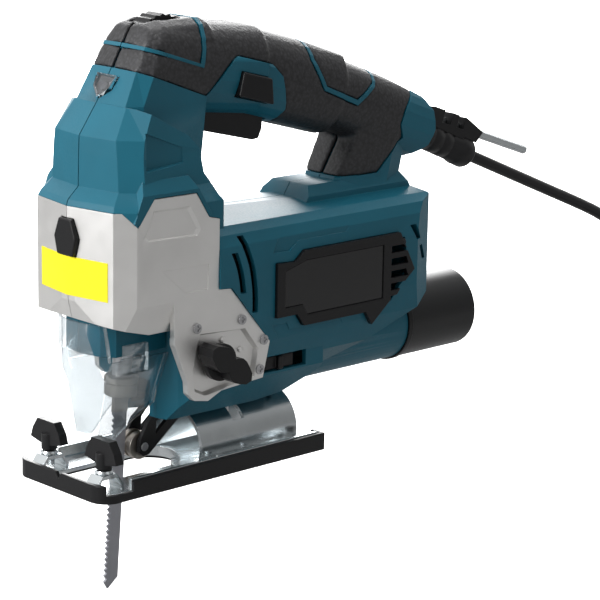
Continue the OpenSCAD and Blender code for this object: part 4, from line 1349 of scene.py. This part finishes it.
@dataclass
class SawHead:
    """What works at the front: guard, plunger, clamp, blade, fork and roller."""

    lean_deg: float = 4.0
    foot_x: float = -1.0
    # height along the blade's line, and radius
    chuck: Outline = field(default_factory=lambda: [
        (37.6, 1.2), (37.6, 6.9), (38.2, 7.5), (43.2, 7.5), (43.4, 7.0), (43.8, 7.0),
        (44.0, 7.8), (46.2, 7.8), (46.9, 7.1), (46.9, 1.2)])
    slit: Outline = field(default_factory=lambda: [
        (-4.1, -0.8), (4.1, -0.8), (4.1, 0.8), (-4.1, 0.8)])

    def build(self, finishes: Finishes) -> None:
        """Makes guard, clamp, blade and fork.

        Args:
            finishes: the tool's finishes.
        """
        guard = soften(cad_copy("blade_guard", "clear_guard"), 0.3, 2)
        settle(guard, finishes.sheet, "blade_guard")
        lean = math.radians(self.lean_deg)
        base = Vector((self.foot_x, 0, 0))
        clamp = turned("chuck", self.chuck, base, Vector((math.sin(lean), 0, math.cos(lean))), 72)
        slit = prism("chuck_slit", self.slit, Axis.Z, 30, 42)
        slit.data.transform(Matrix.Translation(base * MM) @ Matrix.Rotation(lean, 4, "Y"))
        combine(clamp, [slit], Cut.TAKE)
        settle(soften(clamp, 0.0), finishes.burnished, "blade_clamp")
        for node, material, width in (
            ("plunger", finishes.ground, 0.2), ("blade", finishes.blade, 0.1),
            ("roller_fork", finishes.nylon, 0.4), ("guide_roller", finishes.burnished, 0.25),
            ("roller_pin", finishes.ground, 0.3), ("fork_pin", finishes.ground, 0.3),
            ("upper_bush", finishes.bronze, 0.2), ("lower_bush", finishes.bronze, 0.2),
        ):
            dress(node, material, width)


@dataclass
class Sole:
    """Pressed sole, plastic shoe, tilt bracket, edge-guide clamps and their screws."""

    screw_x: float = -23.5
    screw_y: float = 19.5
    # height and radius of the plated ring round each wing screw
    seat: Outline = field(default_factory=lambda: [
        (10.6, 2.6), (10.6, 3.9), (11.2, 4.2), (12.2, 3.8), (12.4, 2.6)])

    def build(self, finishes: Finishes) -> None:
        """Makes the sole group.

        Args:
            finishes: the tool's finishes.
        """
        for node, material, width in (
            ("base_plate", finishes.zinc, 0.35), ("tilt_bracket", finishes.zinc, 0.35),
            ("guide_clamps", finishes.zinc, 0.3), ("shoe_cover", finishes.nylon, 0.5),
            ("left_wing_screw", finishes.nylon, 0.7), ("right_wing_screw", finishes.nylon, 0.7),
            ("bevel_screw", finishes.ground, 0.2),
        ):
            dress(node, material, width, 3)
        for half in Half:
            side = half.name.lower()
            foot = Vector((self.screw_x, half.value * self.screw_y, 0))
            seat = turned(f"{side}_screw_seat", self.seat, foot, Vector((0, 0, 1)), 40)
            settle(soften(seat, 0.0), finishes.zinc, f"{side}_wing_screw", stands_for=False)


@dataclass
class CordEnd:
    """Strain relief, key holder, key and clamp."""

    start: Vector = field(default_factory=lambda: Vector((184.0, 0.0, 139.0)))
    turn_deg: float = 112.6
    # distance along the sleeve and radius: its root, its ribs and its collar
    root: Outline = field(default_factory=lambda: [(-16, 3.05), (-16, 7)])
    rib: Outline = field(default_factory=lambda: [(4, 7.0), (4.6, 6.6), (6.0, 6.6), (6.6, 7.0)])
    ribs: int = 4
    rib_pitch: float = 7.0
    collar: Outline = field(default_factory=lambda: [
        (33, 7), (34, 7.7), (41, 7.8), (42, 7.3), (45.5, 4.4), (45.5, 3.05)])

    def build(self, finishes: Finishes) -> None:
        """Makes the pieces round the cord's outlet.

        Args:
            finishes: the tool's finishes.
        """
        a = math.radians(self.turn_deg)
        along = Vector((math.sin(a), 0, math.cos(a)))
        ribs = [(x + self.rib_pitch * k, r) for k in range(self.ribs) for x, r in self.rib]
        profile = self.root + ribs + self.collar
        sleeve = turned("strain_relief", profile, self.start, along, 56)
        settle(soften(sleeve, 0.0, angle=40), finishes.sheath, "cord_sleeve")
        dress("key_holder", finishes.nylon, 0.5, 3)
        dress("hex_key", finishes.zinc, 0.25)
        dress("cord_clamp", finishes.grey, 0.4)


@dataclass
class DustOutlet:
    """Hose pipe behind the motor."""

    pipe_edge: float = 0.7
    ring_edge: float = 0.3

    def build(self, finishes: Finishes) -> None:
        """Dresses pipe and ring.

        Args:
            finishes: the tool's finishes.
        """
        dress("dust_pipe", finishes.pipe, self.pipe_edge, 3)
        dress("dust_ring", finishes.nylon, self.ring_edge)


@dataclass
class Drive:
    """Motor and gears inside the casing, and the screws that close it."""

    screws: list[tuple[float, float, float]] = field(default_factory=lambda: [
        (22, 27.0, 149), (92, 14.2, 172), (152, 13.6, 152.5),
        (143, 12.6, 127), (148, 32.1, 106), (48, 21.2, 35)])
    screw_radius: float = 3.1
    screw_height: float = 1.2

    def build(self, finishes: Finishes) -> None:
        """Dresses every inner piece, and the casing screws.

        Args:
            finishes: the tool's finishes.
        """
        looks = {
            "stator": finishes.laminations, "armature_core": finishes.laminations,
            "armature_shaft": finishes.ground, "commutator": finishes.bronze,
            "cooling_fan": finishes.nylon, "front_bearing": finishes.ground,
            "rear_bearing": finishes.ground, "carbon_brushes": finishes.carbon,
            "brush_holders": finishes.bronze, "bearing_plate": finishes.cover,
            "drive_gear": finishes.ground, "gear_pin": finishes.ground,
        }
        for node, material in looks.items():
            dress(node, material, 0.0)
        pattern = screw_pattern(finishes.ground, self.screw_radius, self.screw_height)
        heads = pattern.cast("casing_screw_heads", [Vector(spot) * MM for spot in self.screws])
        settle(soften(heads, 0.12), finishes.ground, "housing_screws")


def main() -> None:
    """Builds the whole scene."""
    logging.basicConfig(level=logging.INFO, format="%(message)s")
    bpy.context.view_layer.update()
    Studio().build()
    finishes = Finishes()
    MainsCord().build(finishes)
    groups = (Casing(), Grips(), GearCover(), Badge(), Controls(), SawHead(), Sole(), CordEnd(),
              DustOutlet(), Drive())
    for group in groups:
        group.build(finishes)
        log.info("built %s", type(group).__name__)


if __name__ == "__main__":
    main()
